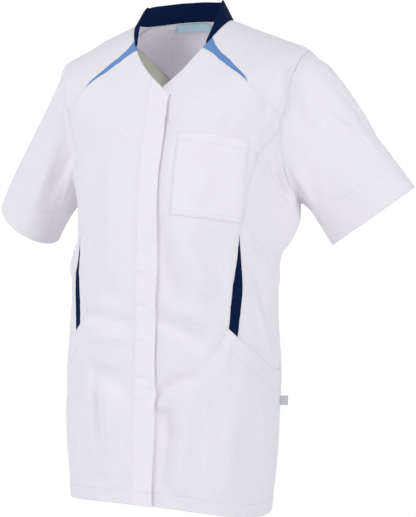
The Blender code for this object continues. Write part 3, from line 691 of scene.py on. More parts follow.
def body_sheet(name, grid, side, material, lines=(), wall=WALL, traced=(), seed=0):
    """A piece of the body, with its creases, its puckers and the paths of its stitches.

    Each line is (edge, distance from it, height of its puckers), and each traced one is
    (distances of the grid from it, places along it).
    """
    angle, level = grid[..., ANGLE], grid[..., LEVEL]
    height = grid[..., OUT] + crease_height(side * angle, level)
    for n, (edge, distance, pucker) in enumerate(lines):
        other = {"inner": BOTTOM, "outer": BOTTOM, "bottom": INNER, "top": INNER}[edge]
        off = (grid[..., EDGES[edge]] - distance) / PUCKER_REACH
        height = height + pucker * wander(grid[..., other], seed * 10 + n) * np.exp(-(off**2))
    points = cloth_point(angle, level, side, height)
    normals = grid_normals(points, normal_of(folded_point, angle, level, side))
    whole = np.concatenate([points, normals, grid], -1)
    paths = stitch_paths.setdefault(name, [])
    core = slice(TURNED, -TURNED)
    for edge, distance, _ in lines:
        rows = facing(whole, edge)[core, core]
        gap = rows[..., 6 + EDGES[edge]]
        path = np.array([
            [np.interp(distance, gap[:, j], rows[:, j, k]) for k in range(6)]
            for j in range(gap.shape[1]) if gap[0, j] - 0.01 <= distance <= gap[-1, j]
        ])
        if len(path) > 2:
            paths.append(path[:, :3] + path[:, 3:] * (wall / 2 + THREAD_OUT))
    for _, places in traced:
        out = crease_height(side * places[:, 0], places[:, 1]) + wall / 2 + TRACED_OUT
        paths.append(cloth_point(places[:, 0], places[:, 1], side, out))
    offsets = [grid[..., EDGES[edge]] - distance for edge, distance, _ in lines]
    offsets += [off for off, _ in traced]
    return make_mesh(name, points, material, wall, offsets)


def hex_colour(text):
    """A colour written in sRGB hex, as linear values."""
    parts = np.array([int(text[i:i + 2], 16) for i in (1, 3, 5)]) / 255
    linear = np.where(parts <= 0.04045, parts / 12.92, ((parts + 0.055) / 1.055) ** 2.4)
    return (*linear.tolist(), 1)


def add(tree, kind, inputs=None, **settings):
    """A node with its settings, and its inputs as numbers or as links from other nodes' sockets."""
    node = tree.nodes.new(kind)
    for key, value in settings.items():
        setattr(node, key, value)
    for key, value in (inputs or {}).items():
        socket = node.inputs[key]
        if isinstance(value, bpy.types.NodeSocket):
            tree.links.new(value, socket)
        else:
            socket.default_value = value
    return node


# A wave texture repeats every so many units, over its scale
WAVE = 0.314
TWILL_SLANT = 27
SLUB_SCALE, RUMPLE_SCALE = 0.9, 0.055  # to the millimetre
RUMPLE, DIP, DIP_REACH = 1.5, 0.25, 1.7  # heights of the unevenness and of the dip at a stitch line, in mm
# Shares of each material's darker colour: painted shade in the dip along a stitch line, and the slubs' random
# tone
DIP_PAINTED_SHADE, SLUB_SHADE = 0.3, 0.5


def woven(name, colour, shade, wale, relief, roughness, sheen, specular=0.25):
    """Twill: slanting wales on the cloth's own map, soft unevenness, and a painted-shade dip along each stitch
    line.

    Wale is the distance between its lines in millimetres, and relief is their height.
    """
    material = bpy.data.materials.new(name)
    material.use_nodes = True
    tree = material.node_tree
    shader = tree.nodes["Principled BSDF"]
    chart = add(tree, "ShaderNodeUVMap", uv_map="cloth").outputs["UV"]
    in_mm = add(
        tree, "ShaderNodeVectorMath", {0: chart, 1: (1000, 1000, 1000)}, operation="MULTIPLY",
    ).outputs[0]
    slant = (0, 0, np.radians(TWILL_SLANT))
    slanted = add(tree, "ShaderNodeMapping", {"Vector": in_mm, "Rotation": slant}).outputs[0]
    wales = add(
        tree, "ShaderNodeTexWave",
        {"Vector": slanted, "Scale": WAVE / wale, "Distortion": 0.6, "Detail": 1.0, "Detail Scale": 1.5},
        bands_direction="X",
    ).outputs["Fac"]
    slubs = add(tree, "ShaderNodeTexNoise", {"Vector": in_mm, "Scale": SLUB_SCALE, "Detail": 2.0}).outputs["Fac"]
    rumple = add(
        tree, "ShaderNodeTexNoise",
        {"Vector": in_mm, "Scale": RUMPLE_SCALE, "Detail": 3.0, "Roughness": 0.5},
    ).outputs["Fac"]
    nearest = None
    for slot in ("stitches_a", "stitches_b"):
        read = add(tree, "ShaderNodeAttribute", attribute_name=slot).outputs["Vector"]
        apart = add(tree, "ShaderNodeVectorMath", {0: read}, operation="ABSOLUTE").outputs[0]
        for part in add(tree, "ShaderNodeSeparateXYZ", {0: apart}).outputs:
            if nearest is None:
                nearest = part
                continue
            nearest = add(tree, "ShaderNodeMath", {0: nearest, 1: part}, operation="MINIMUM").outputs[0]
    dip = add(
        tree, "ShaderNodeMapRange",
        {"Value": nearest, "From Min": 0.0, "From Max": DIP_REACH, "To Min": 1.0, "To Max": 0.0},
        interpolation_type="SMOOTHSTEP",
    ).outputs[0]
    height = 0.0
    for form, high in ((wales, relief), (slubs, relief), (rumple, RUMPLE), (dip, -DIP)):
        sums = {0: form, 1: high, 2: height}
        height = add(tree, "ShaderNodeMath", sums, operation="MULTIPLY_ADD").outputs[0]
    bump = add(tree, "ShaderNodeBump", {"Height": height, "Distance": 0.001, "Strength": 1.0}).outputs[0]
    # Colour: towards the darker one with painted shade at the stitch lines, and with the slubs' random tone
    slubs_and_painted_shade = 0.0
    for form, much in ((dip, DIP_PAINTED_SHADE), (slubs, SLUB_SHADE)):
        sums = {0: form, 1: much, 2: slubs_and_painted_shade}
        slubs_and_painted_shade = add(tree, "ShaderNodeMath", sums, operation="MULTIPLY_ADD").outputs[0]
    colours = {"Factor": slubs_and_painted_shade, 6: hex_colour(colour), 7: hex_colour(shade)}
    mixed = add(tree, "ShaderNodeMix", colours, data_type="RGBA")
    tree.links.new(mixed.outputs[2], shader.inputs["Base Color"])
    tree.links.new(bump, shader.inputs["Normal"])
    shader.inputs["Roughness"].default_value = roughness
    shader.inputs["Sheen Weight"].default_value = sheen
    shader.inputs["Sheen Roughness"].default_value = 0.5
    shader.inputs["Specular IOR Level"].default_value = specular
    return material


# The twill's real wales are about 0.5 mm apart, and are drawn as wide as they need to show
WALE = 0.9
# White polyester and cotton twill, washed and pressed: a matt cool white with a faint slanting grain
white = woven("white_polycotton_twill", "#F3F0F8", "#EAE7F0", WALE, 0.05, 0.85, 0.1)
# The same twill where two layers lie together, so less light gets through and it looks a little whiter
doubled = woven("white_polycotton_twill_doubled", "#F6F3FA", "#EDEAF2", WALE, 0.05, 0.85, 0.1)
# Navy twill, dyed in the piece: deep and matt, so that folds hardly show
navy = woven("navy_polycotton_twill", "#0A1E45", "#071839", WALE, 0.06, 0.8, 0.0, 0.06)
# Light blue twill: a clear flat blue with the same grain
blue = woven("light_blue_polycotton_twill", "#6E99D3", "#5F8BC8", WALE, 0.05, 0.82, 0.05)
# Satin woven label: smoother and shinier than the cloth round it
pale = woven("pale_blue_woven_satin_label", "#D0F3FF", "#C0E7F8", 0.5, 0.03, 0.45, 0.2)
# Taffeta tape: a plain light grey with a slight gloss
grey = woven("light_grey_taffeta_tag", "#CFD1D8", "#BEC1CA", 0.6, 0.03, 0.6, 0.1)
# Twill with a stiff interlining behind it, flat, and painted a darker grey-green as the shade inside the neck
facing_painted_shade = woven("white_twill_facing_painted_shade", "#B6B7AC", "#A9AA9F", WALE, 0.03, 0.9, 0.05)
# Spun polyester thread: soft beads, a little brighter than the cloth
sewing_thread = woven("white_spun_polyester_thread", "#F2F2F5", "#E4E4EA", 0.4, 0.02, 0.6, 0.2)


# Seams
def seam_run(places):
    return resample(places, count_of(run_length(places)))


flash_lower_path = from_front(FLASH_LOWER)[::-1] + [(NECK_CORNER[0], NECKLINE)]
flash_count = count_of(run_length(flash_lower_path))
flash_lower = resample(flash_lower_path, flash_count, first=INSERT_POINT)
flash_upper_path = from_front(FLASH_UPPER)[::-1] + [(NECK_CORNER[1], NECKLINE)]
flash_upper = resample(flash_upper_path, flash_count, first=INSERT_POINT)
armhole = [
    seam_run(from_side(run))
    for run in (ARMHOLE_FRONT_YOKE, ARMHOLE_FRONT_PANEL, ARMHOLE_SIDE_FRONT, ARMHOLE_BACK, ARMHOLE_BACK_YOKE)
]
front_junction, princess_top, armpit, back_junction = (run[-1] for run in armhole[:4])
front_yoke = seam_run([front_junction] + from_front(FRONT_YOKE)[::-1] + [flash_lower[0]])
princess = seam_run([princess_top] + from_front(PRINCESS))[::-1]
waist_point = princess[0]
waist_path = [waist_point] + from_front(WAIST_FRONT)
waist_count = count_of(run_length(waist_path))
waist_front = resample(waist_path, waist_count, first=WAIST_POINT)[::-1]
waist_side = resample([waist_point] + from_front(WAIST_SIDE), waist_count, first=WAIST_POINT)[::-1]
mouth_end = np.array([SIDE_SEAM, POCKET_MOUTH_END])
mouth_path = [mouth_end] + from_front(POCKET_MOUTH)[::-1]
pocket_mouth = chain(seam_run(mouth_path), straight(waist_side[0], waist_front[0], 5))
low_count = count_of(POCKET_MOUTH_END - HEM)
side_seam_low = straight((SIDE_SEAM, HEM), mouth_end, low_count)


def side_seam_high(count):
    """The side seam from the pocket's end up to the armpit, with its last run slanting to it."""
    slant = count // 5
    bend = (SIDE_SEAM, SEAM_BEND)
    return chain(straight(mouth_end, bend, count - slant + 1), straight(bend, armpit, slant))


def neckline(start, end, count):
    return straight((start, NECKLINE), (end, NECKLINE), count)


front_outer = chain(
    side_seam_low, pocket_mouth, waist_front, princess, armhole[1][::-1], front_yoke, flash_lower,
)
front_levels = front_outer[:, 1]
FRONT_COLUMNS = 44


def upright(x):
    return np.stack([angle_at(np.full(len(front_levels), x), front_levels), front_levels], 1)


def front_places(inner):
    top = neckline(inner[-1, 0], NECK_CORNER[0], FRONT_COLUMNS)
    return patch(inner, front_outer, straight(inner[0], front_outer[0], FRONT_COLUMNS), top)


def under_placket(angle, level):
    """How far the left front and its pocket are drawn in, so that they lie under the placket."""
    past = (angle - angle_at(LAP_COLUMNS[-1], level)) / LAP_FADE
    return -(UNDER + NECK_LAP * smooth_step(1 + level / NECK_DEPTH)) * smooth_step(1 - past)


def mouth_level(angle):
    return np.interp(angle, pocket_mouth[::-1, 0], pocket_mouth[::-1, 1])


def behind_mouth(angle, level):
    """How far the side front is drawn in, where it backs the hip pocket."""
    return -MOUTH_BACK * smooth_step(1 - (level - mouth_level(angle) - MOUTH_CLEAR) / MOUTH_FADE)


# How much of the front's outer edge is the pocket's mouth, which is folded and not sewn
mouth_start, mouth_stop = len(side_seam_low), len(side_seam_low) + len(pocket_mouth) - 2
is_mouth = np.zeros(len(front_outer))
is_mouth[mouth_start:mouth_stop] = 1

# Stitch lines: edge, distance from it, height of its puckers
FRONT_LINES = (("bottom", HEM_STITCH, 0.45), ("outer", SEAM_STITCH, 0.3))
PLACKET_LINES = (("bottom", HEM_STITCH, 0.2), ("outer", PLACKET_STITCH, 0.5))
POCKET_LINES = (
    ("top", 15.0, 0.2), ("inner", 2.0, 0.3), ("outer", 2.0, 0.3), ("bottom", 2.0, 0.25), ("bottom", 7.0, 0.1),
)
SIDE_FRONT_LINES = (("inner", SEAM_STITCH, 0.3),)
YOKE_LINES = (("inner", SEAM_STITCH, 0.3), ("outer", SEAM_STITCH, 0.2))
BACK_LINES = (("bottom", HEM_STITCH, 0.45),)


def front(name, side, places, out, seed):
    """A front, with its hip pocket's mouth and the stitch line below it."""
    grid = turned_edges(measured(places, side, out), side, (
        ("outer", is_mouth), ("inner", 1.0), ("bottom", 1.0, HEM_FOLD), ("top", 1.0, NARROW_FOLD),
    ))
    below = mouth_level(grid[..., ANGLE]) - grid[..., LEVEL] - MOUTH_STITCH
    below[grid[..., ANGLE] < waist_front[0, 0]] = FAR
    mouth_angles = np.linspace(waist_front[0, 0], SIDE_SEAM, 40)
    line = below, np.stack([mouth_angles, mouth_level(mouth_angles) - MOUTH_STITCH], -1)
    return body_sheet(name, grid, side, white, FRONT_LINES, traced=(line,), seed=seed)


left_lap = [upright(x)[:, None] for x in np.arange(LAP_COLUMNS[0], LAP_COLUMNS[-1], SPACING)]
left_places = np.concatenate(left_lap + [front_places(upright(LAP_COLUMNS[-1]))], 1)
front("front_left", LEFT, left_places, under_placket(left_places[..., 0], left_places[..., 1]), 1)
right_places = front_places(upright(PLACKET_WIDTH - LAP))
front("front_right", RIGHT, right_places, 0.0, 2)

# The placket's free edge sways a little, and stands off where it gapes
edge_x = -LAP + EDGE_SWAY * wander(front_levels, 21, ((190.0, 0.6), (83.0, 0.3), (41.0, 0.1)))
placket_edge = np.stack([angle_at(edge_x, front_levels), front_levels], 1)
placket_seam = upright(PLACKET_WIDTH - LAP)
places = patch(placket_edge, placket_seam, *ends(placket_edge, placket_seam, PLACKET_COLUMNS))
gape = np.interp(places[..., 1], *np.array(GAPES, float).T)
loose = np.linspace(1, 0, PLACKET_COLUMNS) ** 2
grid = turned_edges(measured(places, RIGHT, PLACKET_OUT + gape * loose), RIGHT, (
    ("inner", 1.0), ("outer",), ("bottom", 1.0, HEM_FOLD), ("top", 1.0, NARROW_FOLD),
))
body_sheet("placket", grid, RIGHT, doubled, PLACKET_LINES, seed=3)

# The right front's facing, which stands inwards at the neck and shows through it
share = np.linspace(0, 1, 30)
facing_angles = FACING_ANGLES[0] + (FACING_ANGLES[1] - FACING_ANGLES[0]) * share
facing_edge = cloth_point(facing_angles, np.full(30, FACING_EDGE), RIGHT, FACING_OUT)
half_turns = FACING_TURNS[0] + (FACING_TURNS[1] - FACING_TURNS[0]) * share
reach_in = FACING_DEPTH * np.sin(np.pi * half_turns) ** FACING_POWER
steps = np.linspace(0, 1, 8)[:, None, None]
facing_points = facing_edge + steps * reach_in[:, None] * unit(np.array(FACING_AIM))
# Its grey-green colour is painted shade for the white facing lying in shade inside the neck
make_mesh("neck_facing", facing_points, facing_painted_shade, FACING_WALL)

# Chest pocket
corners = {
    (row, column): from_front([(CHEST_POCKET[column][row == "bottom"], CHEST_POCKET[row][column == "outer"])])[0]
    for row in ("top", "bottom") for column in ("inner", "outer")
}
pocket_places = patch(
    straight(corners["bottom", "inner"], corners["top", "inner"], 40),
    straight(corners["bottom", "outer"], corners["top", "outer"], 40),
    straight(corners["bottom", "inner"], corners["bottom", "outer"], 34),
    straight(corners["top", "inner"], corners["top", "outer"], 34),
)
pocket_out = under_placket(pocket_places[..., 0], pocket_places[..., 1]) + POCKET_OUT
grid = measured(pocket_places, LEFT, pocket_out)
grid = turned_edges(grid, LEFT, [(edge, 1.0, NARROW_FOLD) for edge in EDGES])
body_sheet("chest_pocket", grid, LEFT, doubled, POCKET_LINES, seed=4)

# Side fronts, inserts and yokes
INSERT_COLUMNS = 6
for side, word in ((LEFT, "left"), (RIGHT, "right")):
    bag_inner = straight((waist_side[0, 0], POCKET_BAG), waist_side[0], 30)
    bag_outer = straight((SIDE_SEAM, POCKET_BAG), mouth_end, 30)
    inner = chain(bag_inner, waist_side, princess)
    outer = chain(bag_outer, side_seam_high(len(waist_side) + len(princess) - 1))
    places = patch(inner, outer, straight(inner[0], outer[0], len(armhole[2])), armhole[2])
    grid = measured(places, side, behind_mouth(places[..., 0], places[..., 1]))
    grid = turned_edges(grid, side, ALL_SEAMS)
    body_sheet(f"side_front_{word}", grid, side, white, SIDE_FRONT_LINES, seed=5 + side)

    places = patch(waist_front, waist_side, *ends(waist_front, waist_side, INSERT_COLUMNS))
    grid = turned_edges(measured(places, side, INSERT_OUT["waist"]), side, ALL_SEAMS)
    body_sheet(f"waist_insert_{word}", grid, side, navy, seed=8)
    places = patch(
        flash_lower, flash_upper,
        straight(flash_lower[0], flash_upper[0], INSERT_COLUMNS), neckline(*NECK_CORNER, INSERT_COLUMNS),
    )
    grid = turned_edges(measured(places, side, INSERT_OUT["neck"]), side, ALL_SEAMS)
    body_sheet(f"neck_insert_{word}", grid, side, blue, seed=9)

    front_edge = chain(front_yoke, flash_upper)
    over = chain(armhole[0][::-1], armhole[4][::-1])
    places = patch(
        front_edge, straight(back_junction, (YOKE_BACK, NECKLINE), len(front_edge)),
        over, neckline(NECK_CORNER[1], YOKE_BACK, len(over)),
    )
    grid = turned_edges(measured(places, side), side, ALL_SEAMS)
    body_sheet(f"yoke_{word}", grid, side, white, YOKE_LINES, seed=11 + side)

# Back
back_inner = chain(
    side_seam_low, side_seam_high(count_of(240)), armhole[3],
    straight(back_junction, (YOKE_BACK, NECKLINE), count_of(80)),
)
back_outer = back_inner * (-1, 1) + (360, 0)
BACK_COLUMNS = 120
places = patch(
    back_inner, back_outer,
    straight(back_inner[0], back_outer[0], BACK_COLUMNS), neckline(YOKE_BACK, 360 - YOKE_BACK, BACK_COLUMNS),
)
grid = turned_edges(measured(places, LEFT), LEFT, (("inner",), ("outer",), ("top",), ("bottom", 1.0, HEM_FOLD)))
body_sheet("back", grid, LEFT, white, BACK_LINES, seed=14)

# Collar
collar_angles = np.concatenate([np.linspace(COLLAR_START, 90, 34), np.linspace(90, 180, 44)[1:]])
base = body_point(collar_angles, NECKLINE, LEFT)
rise = base - body_point(collar_angles, NECKLINE - 2.0, LEFT)
run = unit(np.gradient(base, axis=0))
into = unit(rise - run * (rise * run).sum(-1, keepdims=True))
inward = unit((0, COLLAR_CENTRE, 0) - base * (1, 1, 0))
lean = COLLAR_LEAN / COLLAR_HEIGHT
direction = inward * lean + np.array([0, 0, 1]) * np.sqrt(1 - lean**2)
share = np.clip((collar_angles - COLLAR_START) / (COLLAR_FULL - COLLAR_START), 0, 1) ** COLLAR_TAPER
full = np.interp(collar_angles, (COLLAR_FULL, 180), (COLLAR_HEIGHT, COLLAR_BACK))
height = (COLLAR_TIP + (full - COLLAR_TIP) * share)[:, None]
up = np.linspace(0, 1, COLLAR_ROWS)
half = base + into * COLLAR_SUNK + up[:, None, None] * height * direction
right_half = half[:, -2::-1] * (-1, 1, 1)
roll = np.exp(-(((collar_angles[-2::-1] - ROLL_CENTRE) / ROLL_REACH) ** 2)) * up[:, None] ** ROLL_POWER
right_half[..., 2] -= COLLAR_ROLL * roll
middle = np.concatenate([half, right_half], 1)
make_mesh("collar", middle, navy, COLLAR_WALL)

# Label and tag
label_angles, label_levels = np.meshgrid(
    np.linspace(180 - LABEL_HALF_ANGLE, 180 + LABEL_MORE + LABEL_HALF_ANGLE, 40),
    np.linspace(*LABEL_LEVELS, 12),
)
make_mesh("neck_label", cloth_point(label_angles, label_levels, LEFT, LABEL_OUT), pale, LABEL_WALL)
seam = cloth_point(SIDE_SEAM, np.linspace(*TAG_LEVELS, 8), LEFT, TAG_OUT)
tag_run = unit(np.array(TAG_DIRECTION, float)) * np.linspace(0, TAG_WIDTH, 8)[:, None]
make_mesh("side_tag", seam[:, None] + tag_run, grey, TAG_WALL)

# Creases on the sleeves: the turn is 0 at the outer edge and 90 at the front.
# Columns: side, from_turn, from_share, to_turn, to_share, half_width, height
SLEEVE_CREASES = (
    (LEFT, 44, 0.02, 64, 0.46, 11, -3.6),
    (LEFT, 62, -0.02, 88, 0.34, 10, 2.4),
    (LEFT, 38, 0.26, 30, 0.68, 5, 2.4),
    (LEFT, 46, 0.26, 40, 0.52, 6, -2.4),
    (LEFT, 18, 0.1, 16, 0.55, 8, -2.6),
    (LEFT, 104, 0.04, 118, 0.5, 12, -3.0),
    (LEFT, 128, 0.08, 150, 0.58, 11, 3.4),
    (LEFT, 92, 0.5, 78, 0.98, 14, 2.2),
    (LEFT, 58, 0.62, 52, 1.02, 9, -2.0),
    (LEFT, 160, 0.02, 176, 0.5, 9, -3.4),
    (LEFT, 300, 0.04, 286, 0.5, 14, -4.0),
    (LEFT, 256, 0.2, 244, 0.82, 14, 3.4),
    (LEFT, 214, 0.06, 226, 0.6, 10, -3.4),
    (LEFT, 330, 0.2, 326, 0.72, 8, 2.2),
    (RIGHT, 30, 0.04, 24, 0.62, 11, -3.0),
    (RIGHT, 52, 0.0, 58, 0.4, 9, 2.4),
    (RIGHT, 78, 0.1, 94, 0.74, 13, 3.2),
    (RIGHT, 116, 0.04, 108, 0.52, 10, -3.6),
    (RIGHT, 134, 0.1, 142, 0.62, 8, 3.0),
    (RIGHT, 70, 0.56, 62, 1.0, 10, -2.2),
    (RIGHT, 158, 0.04, 166, 0.5, 9, -3.0),
    (RIGHT, 296, 0.04, 282, 0.56, 14, -4.2),
    (RIGHT, 250, 0.16, 240, 0.78, 13, 3.6),
    (RIGHT, 210, 0.06, 222, 0.56, 10, -3.0),
    (RIGHT, 334, 0.24, 328, 0.7, 8, 2.4),
)
VENT_OPEN = 3.4  # how far a cuff's slit stands open at its edge
VENT_SHARES = (0.5, 0.3, 0.1)  # how much of that each column beside it moves
# Rows past a sleeve's ends: pressed into the armhole's seam, and turned back inside the cuff
SEAM_UNDER = (-2.4, -1.6, -0.8)
SEAM_DIP = -0.15
CUFF_BACK = (0, 0.001, 0.004, 0.02, 0.1, 0.2)
CUFF_UNDER = (-0.45, -0.7, -0.85, -0.9, -0.9, -0.9, -0.9)
STITCH_OUT = 0.35  # over the middle of a sleeve's cloth
SEAM_ROUND = 5  # neighbours that smooth the way in which a sleeve leaves its armhole

ring_places = chain(*armhole)[:-1]
top_to_pit = sum(len(run) - 1 for run in armhole[:3])


def evenly_round(values, along, even):
    """Values round a ring at even distances along it."""
    closed = np.concatenate([values, values[:1]])
    return np.stack([np.interp(even, along, column) for column in closed.T], -1)


def blended_round(values, reach):
    """Unit vectors round a ring, each turned towards its neighbours."""
    shifts = range(-2 * reach, 2 * reach + 1)
    return unit(sum(np.roll(values, k, 0) * np.exp(-((k / reach) ** 2)) for k in shifts))


def armhole_ring(side):
    """Points evenly round an armhole, the body's normals there, and each point's turn from the top."""
    edge = folded_point(*ring_places.T, side)
    normals = normal_of(folded_point, *ring_places.T, side)
    along = np.linalg.norm(np.diff(np.concatenate([edge, edge[:1]]), axis=0), axis=1)
    along = np.concatenate([[0], np.cumsum(along)])
    even = np.linspace(0, along[-1], count_of(along[-1]))[:-1]
    turn = np.interp(even, (0, along[top_to_pit], along[-1]), (0, np.pi, 2 * np.pi))[:, None]
    return evenly_round(edge, along, even), unit(evenly_round(normals, along, even)), turn


def into_armhole(edge, normals):
    """Directions along the body's cloth, from the points of an armhole towards its middle."""
    run = unit(np.roll(edge, -2, 0) - np.roll(edge, 2, 0))
    into = unit(np.cross(run, normals))
    into *= np.sign((into * (edge.mean(0) - edge)).sum(-1, keepdims=True))
    return blended_round(into, SEAM_ROUND)


def sleeve_folds(side, turn, shares):
    """How far folds and creases move a sleeve's cloth, at turns round it and shares of its length."""
    total = np.zeros((len(shares), len(turn)))
    for its_side, a0, t0, a1, t1, half_width, height in SLEEVE_FOLDS + SLEEVE_CREASES:
        run = np.array([(a1 - a0) * MM_PER_TURN_DEGREE, (t1 - t0) * SLEEVE_LENGTH])
        for full_turn in (-360, 0, 360) if its_side == side else ():
            off = (np.degrees(turn[:, 0]) + full_turn - a0) * MM_PER_TURN_DEGREE
            off = np.stack(np.broadcast_arrays(off, (shares[:, None] - t0) * SLEEVE_LENGTH), -1)
            total += ridge(off, run, half_width, height)
    return total * smooth_step(shares[:, None] / CAP_SMOOTH)


def open_vent(points, opened):
    """Spreads the slit at a sleeve's outer edge, where its first and last columns meet."""
    front_edge, back_edge = unit(points[:, 1] - points[:, 0]), unit(points[:, -2] - points[:, -1])
    for k, share in enumerate(VENT_SHARES):
        points[:, k] += front_edge * opened * share
        points[:, -1 - k] += back_edge * opened * share


def sleeve(side, outer_tip, inner_tip, front_tip, cap_pull, underarm_pull, cuff_pull):
    """A sleeve: it leaves the armhole along the body's cloth and bends over to a flat oval cuff."""
    edge, edge_normals, turn = armhole_ring(side)
    into = into_armhole(edge, edge_normals)
    outer_tip, inner_tip = np.array(outer_tip, float), np.array(inner_tip, float)
    centre, wide = (outer_tip + inner_tip) / 2, (outer_tip - inner_tip) / 2
    forward = front_tip - centre
    aim = unit(np.cross(wide, forward)) * side
    start = edge + into * 0.05
    cuff = centre + wide * np.cos(turn) + forward * np.sin(turn)
    reach = np.linalg.norm(cuff - start, axis=1, keepdims=True)
    high = (1 + (into * aim).sum(-1, keepdims=True)) / 2
    pull = reach * (underarm_pull + (cap_pull - underarm_pull) * high)
    rows = count_of(reach.mean())
    hem_share = SLEEVE_HEM / reach.mean()
    before = len(SEAM_UNDER)
    core = slice(before, before + rows)
    shares = np.concatenate([[0] * before, np.linspace(0, 1, rows), 1 - np.array([*CUFF_BACK, hem_share])])
    outs = np.concatenate([SEAM_UNDER, np.zeros(rows), CUFF_UNDER])
    outs[before] = SEAM_DIP
    t = shares[:, None, None]
    middle = (
        (2 * t**3 - 3 * t**2 + 1) * start + (t**3 - 2 * t**2 + t) * pull * unit(into + aim)
        + (3 * t**2 - 2 * t**3) * cuff + (t**3 - t**2) * reach * cuff_pull * aim
    )
    down = np.gradient(middle[core], axis=0)
    round_it = np.roll(middle[core], -1, 1) - np.roll(middle[core], 1, 1)
    found = unit(np.cross(round_it, down))
    found *= np.sign((found[-1] * (cuff - centre)).sum())
    nearest = [np.abs(np.linspace(0, 1, rows) - share).argmin() for share in shares[core.stop:]]
    normals = np.concatenate([[edge_normals] * before, found, found[nearest]])
    points = middle + normals * (sleeve_folds(side, turn, shares) + outs[:, None])[..., None]
    points = np.concatenate([points, points[:, :1]], 1)
    # The slit opens from the hem's stitch line to the cuff
    open_vent(points, VENT_OPEN * np.clip((shares - 1 + hem_share) / hem_share, 0, 1)[:, None])
    reach = np.concatenate([reach[:, 0], reach[0]])
    from_seam = shares[:, None] * reach
    from_hem = (1 - shares[:, None]) * reach - SLEEVE_HEM
    raised = points[core] + STITCH_OUT * np.concatenate([found, found[:, :1]], 1)
    seam_line = np.array([
        [np.interp(SLEEVE_STITCH, from_seam[core, j], raised[:, j, k]) for k in range(3)]
        for j in range(points.shape[1])
    ])
    hem_row = int(round((1 - hem_share) * (rows - 1)))
    name = "sleeve_left" if side == LEFT else "sleeve_right"
    stitch_paths[name] = [seam_line, raised[hem_row, :-1]]
    make_mesh(name, points, white, WALL, (from_seam - SLEEVE_STITCH, from_hem), weld=True)


for row in SLEEVES:
    sleeve(*row)


def stitch_tree():
    """Stitches along a path: one small round bead of thread for each, from named sizes."""
    tree = bpy.data.node_groups.new("stitching", "GeometryNodeTree")
    new = tree.interface.new_socket
    new("Geometry", in_out="INPUT", socket_type="NodeSocketGeometry")
    for name in ("Stitch length", "Pitch", "Thread width", "Unevenness"):
        new(name, in_out="INPUT", socket_type="NodeSocketFloat")
    new("Seed", in_out="INPUT", socket_type="NodeSocketInt")
    new("Thread", in_out="INPUT", socket_type="NodeSocketMaterial")
    new("Geometry", in_out="OUTPUT", socket_type="NodeSocketGeometry")
    given = add(tree, "NodeGroupInput").outputs
    path = add(tree, "GeometryNodeMeshToCurve", {"Mesh": given["Geometry"]}).outputs[0]
    path = add(
        tree, "GeometryNodeResampleCurve", {"Curve": path, "Length": given["Pitch"]}, mode="LENGTH",
    ).outputs[0]
    bead = add(tree, "GeometryNodeMeshUVSphere", {"Segments": 5, "Rings": 4, "Radius": 0.5}).outputs["Mesh"]
    width = given["Thread width"]
    size = add(tree, "ShaderNodeCombineXYZ", {0: given["Stitch length"], 1: width, 2: width}).outputs[0]
    bead = add(tree, "GeometryNodeTransform", {"Geometry": bead, "Scale": size}).outputs[0]
    tangent = add(tree, "GeometryNodeInputTangent").outputs[0]
    limits = {
        slot: add(
            tree, "ShaderNodeVectorMath", {0: (way, way, way), "Scale": given["Unevenness"]}, operation="SCALE",
        ).outputs[0] for slot, way in enumerate((-1, 1))
    }
    limits["Seed"] = given["Seed"]
    sway = add(tree, "FunctionNodeRandomValue", limits, data_type="FLOAT_VECTOR").outputs[0]
    aim = add(tree, "ShaderNodeVectorMath", {0: tangent, 1: sway}, operation="ADD").outputs[0]
    turn = add(tree, "FunctionNodeAlignRotationToVector", {"Vector": aim}, axis="X").outputs[0]
    laid = {"Points": path, "Instance": bead, "Rotation": turn}
    beads = add(tree, "GeometryNodeInstanceOnPoints", laid).outputs[0]
    beads = add(tree, "GeometryNodeRealizeInstances", {"Geometry": beads}).outputs[0]
    beads = add(tree, "GeometryNodeSetMaterial", {"Geometry": beads, "Material": given["Thread"]}).outputs[0]
    add(tree, "NodeGroupOutput", {"Geometry": beads})
    return tree


STITCHING = stitch_tree()
# A stitch's sizes in metres, and how unevenly the stitches lie
STITCH_SIZES = {"Stitch length": 0.0025, "Pitch": 0.0032, "Thread width": 0.00045, "Unevenness": 0.04}


def sew(name, paths, thread, seed):
    """The stitches on one piece, as one plain mesh."""
    points = np.concatenate(paths) * MM
    ends = np.cumsum([len(path) for path in paths])
    edges = [(i, i + 1) for i in range(len(points) - 1) if i + 1 not in ends]
    data = bpy.data.meshes.new(name + "_path")
    data.from_pydata(points.tolist(), edges, [])
    guide = bpy.data.objects.new(name + "_path", data)
    bpy.context.scene.collection.objects.link(guide)
    modifier = guide.modifiers.new("stitching", "NODES")
    modifier.node_group = STITCHING
    inputs = (item for item in STITCHING.interface.items_tree if item.in_out == "INPUT")
    sockets = {item.name: item.identifier for item in inputs}
    for key, value in {**STITCH_SIZES, "Seed": seed, "Thread": thread}.items():
        modifier[sockets[key]] = value
    graph = bpy.context.evaluated_depsgraph_get()
    data = bpy.data.meshes.new_from_object(guide.evaluated_get(graph))
    bpy.data.objects.remove(guide)
    made = bpy.data.objects.new(name, data)
    bpy.context.scene.collection.objects.link(made)
    return made


SLOTS = {row["node"]: row["material_slot"] for row in frame["record"]["subparts"]}
stitches = {
    name: sew(name + "_stitches", paths, sewing_thread, seed)
    for seed, (name, paths) in enumerate(sorted(stitch_paths.items())) if paths
}
# What each piece and its stitches ride on, and the solids that each piece replaces
for name, piece in pieces.items():
    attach(piece, "root")
    if name in SLOTS:
        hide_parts(name)
for name, piece in stitches.items():
    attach(piece, "root")

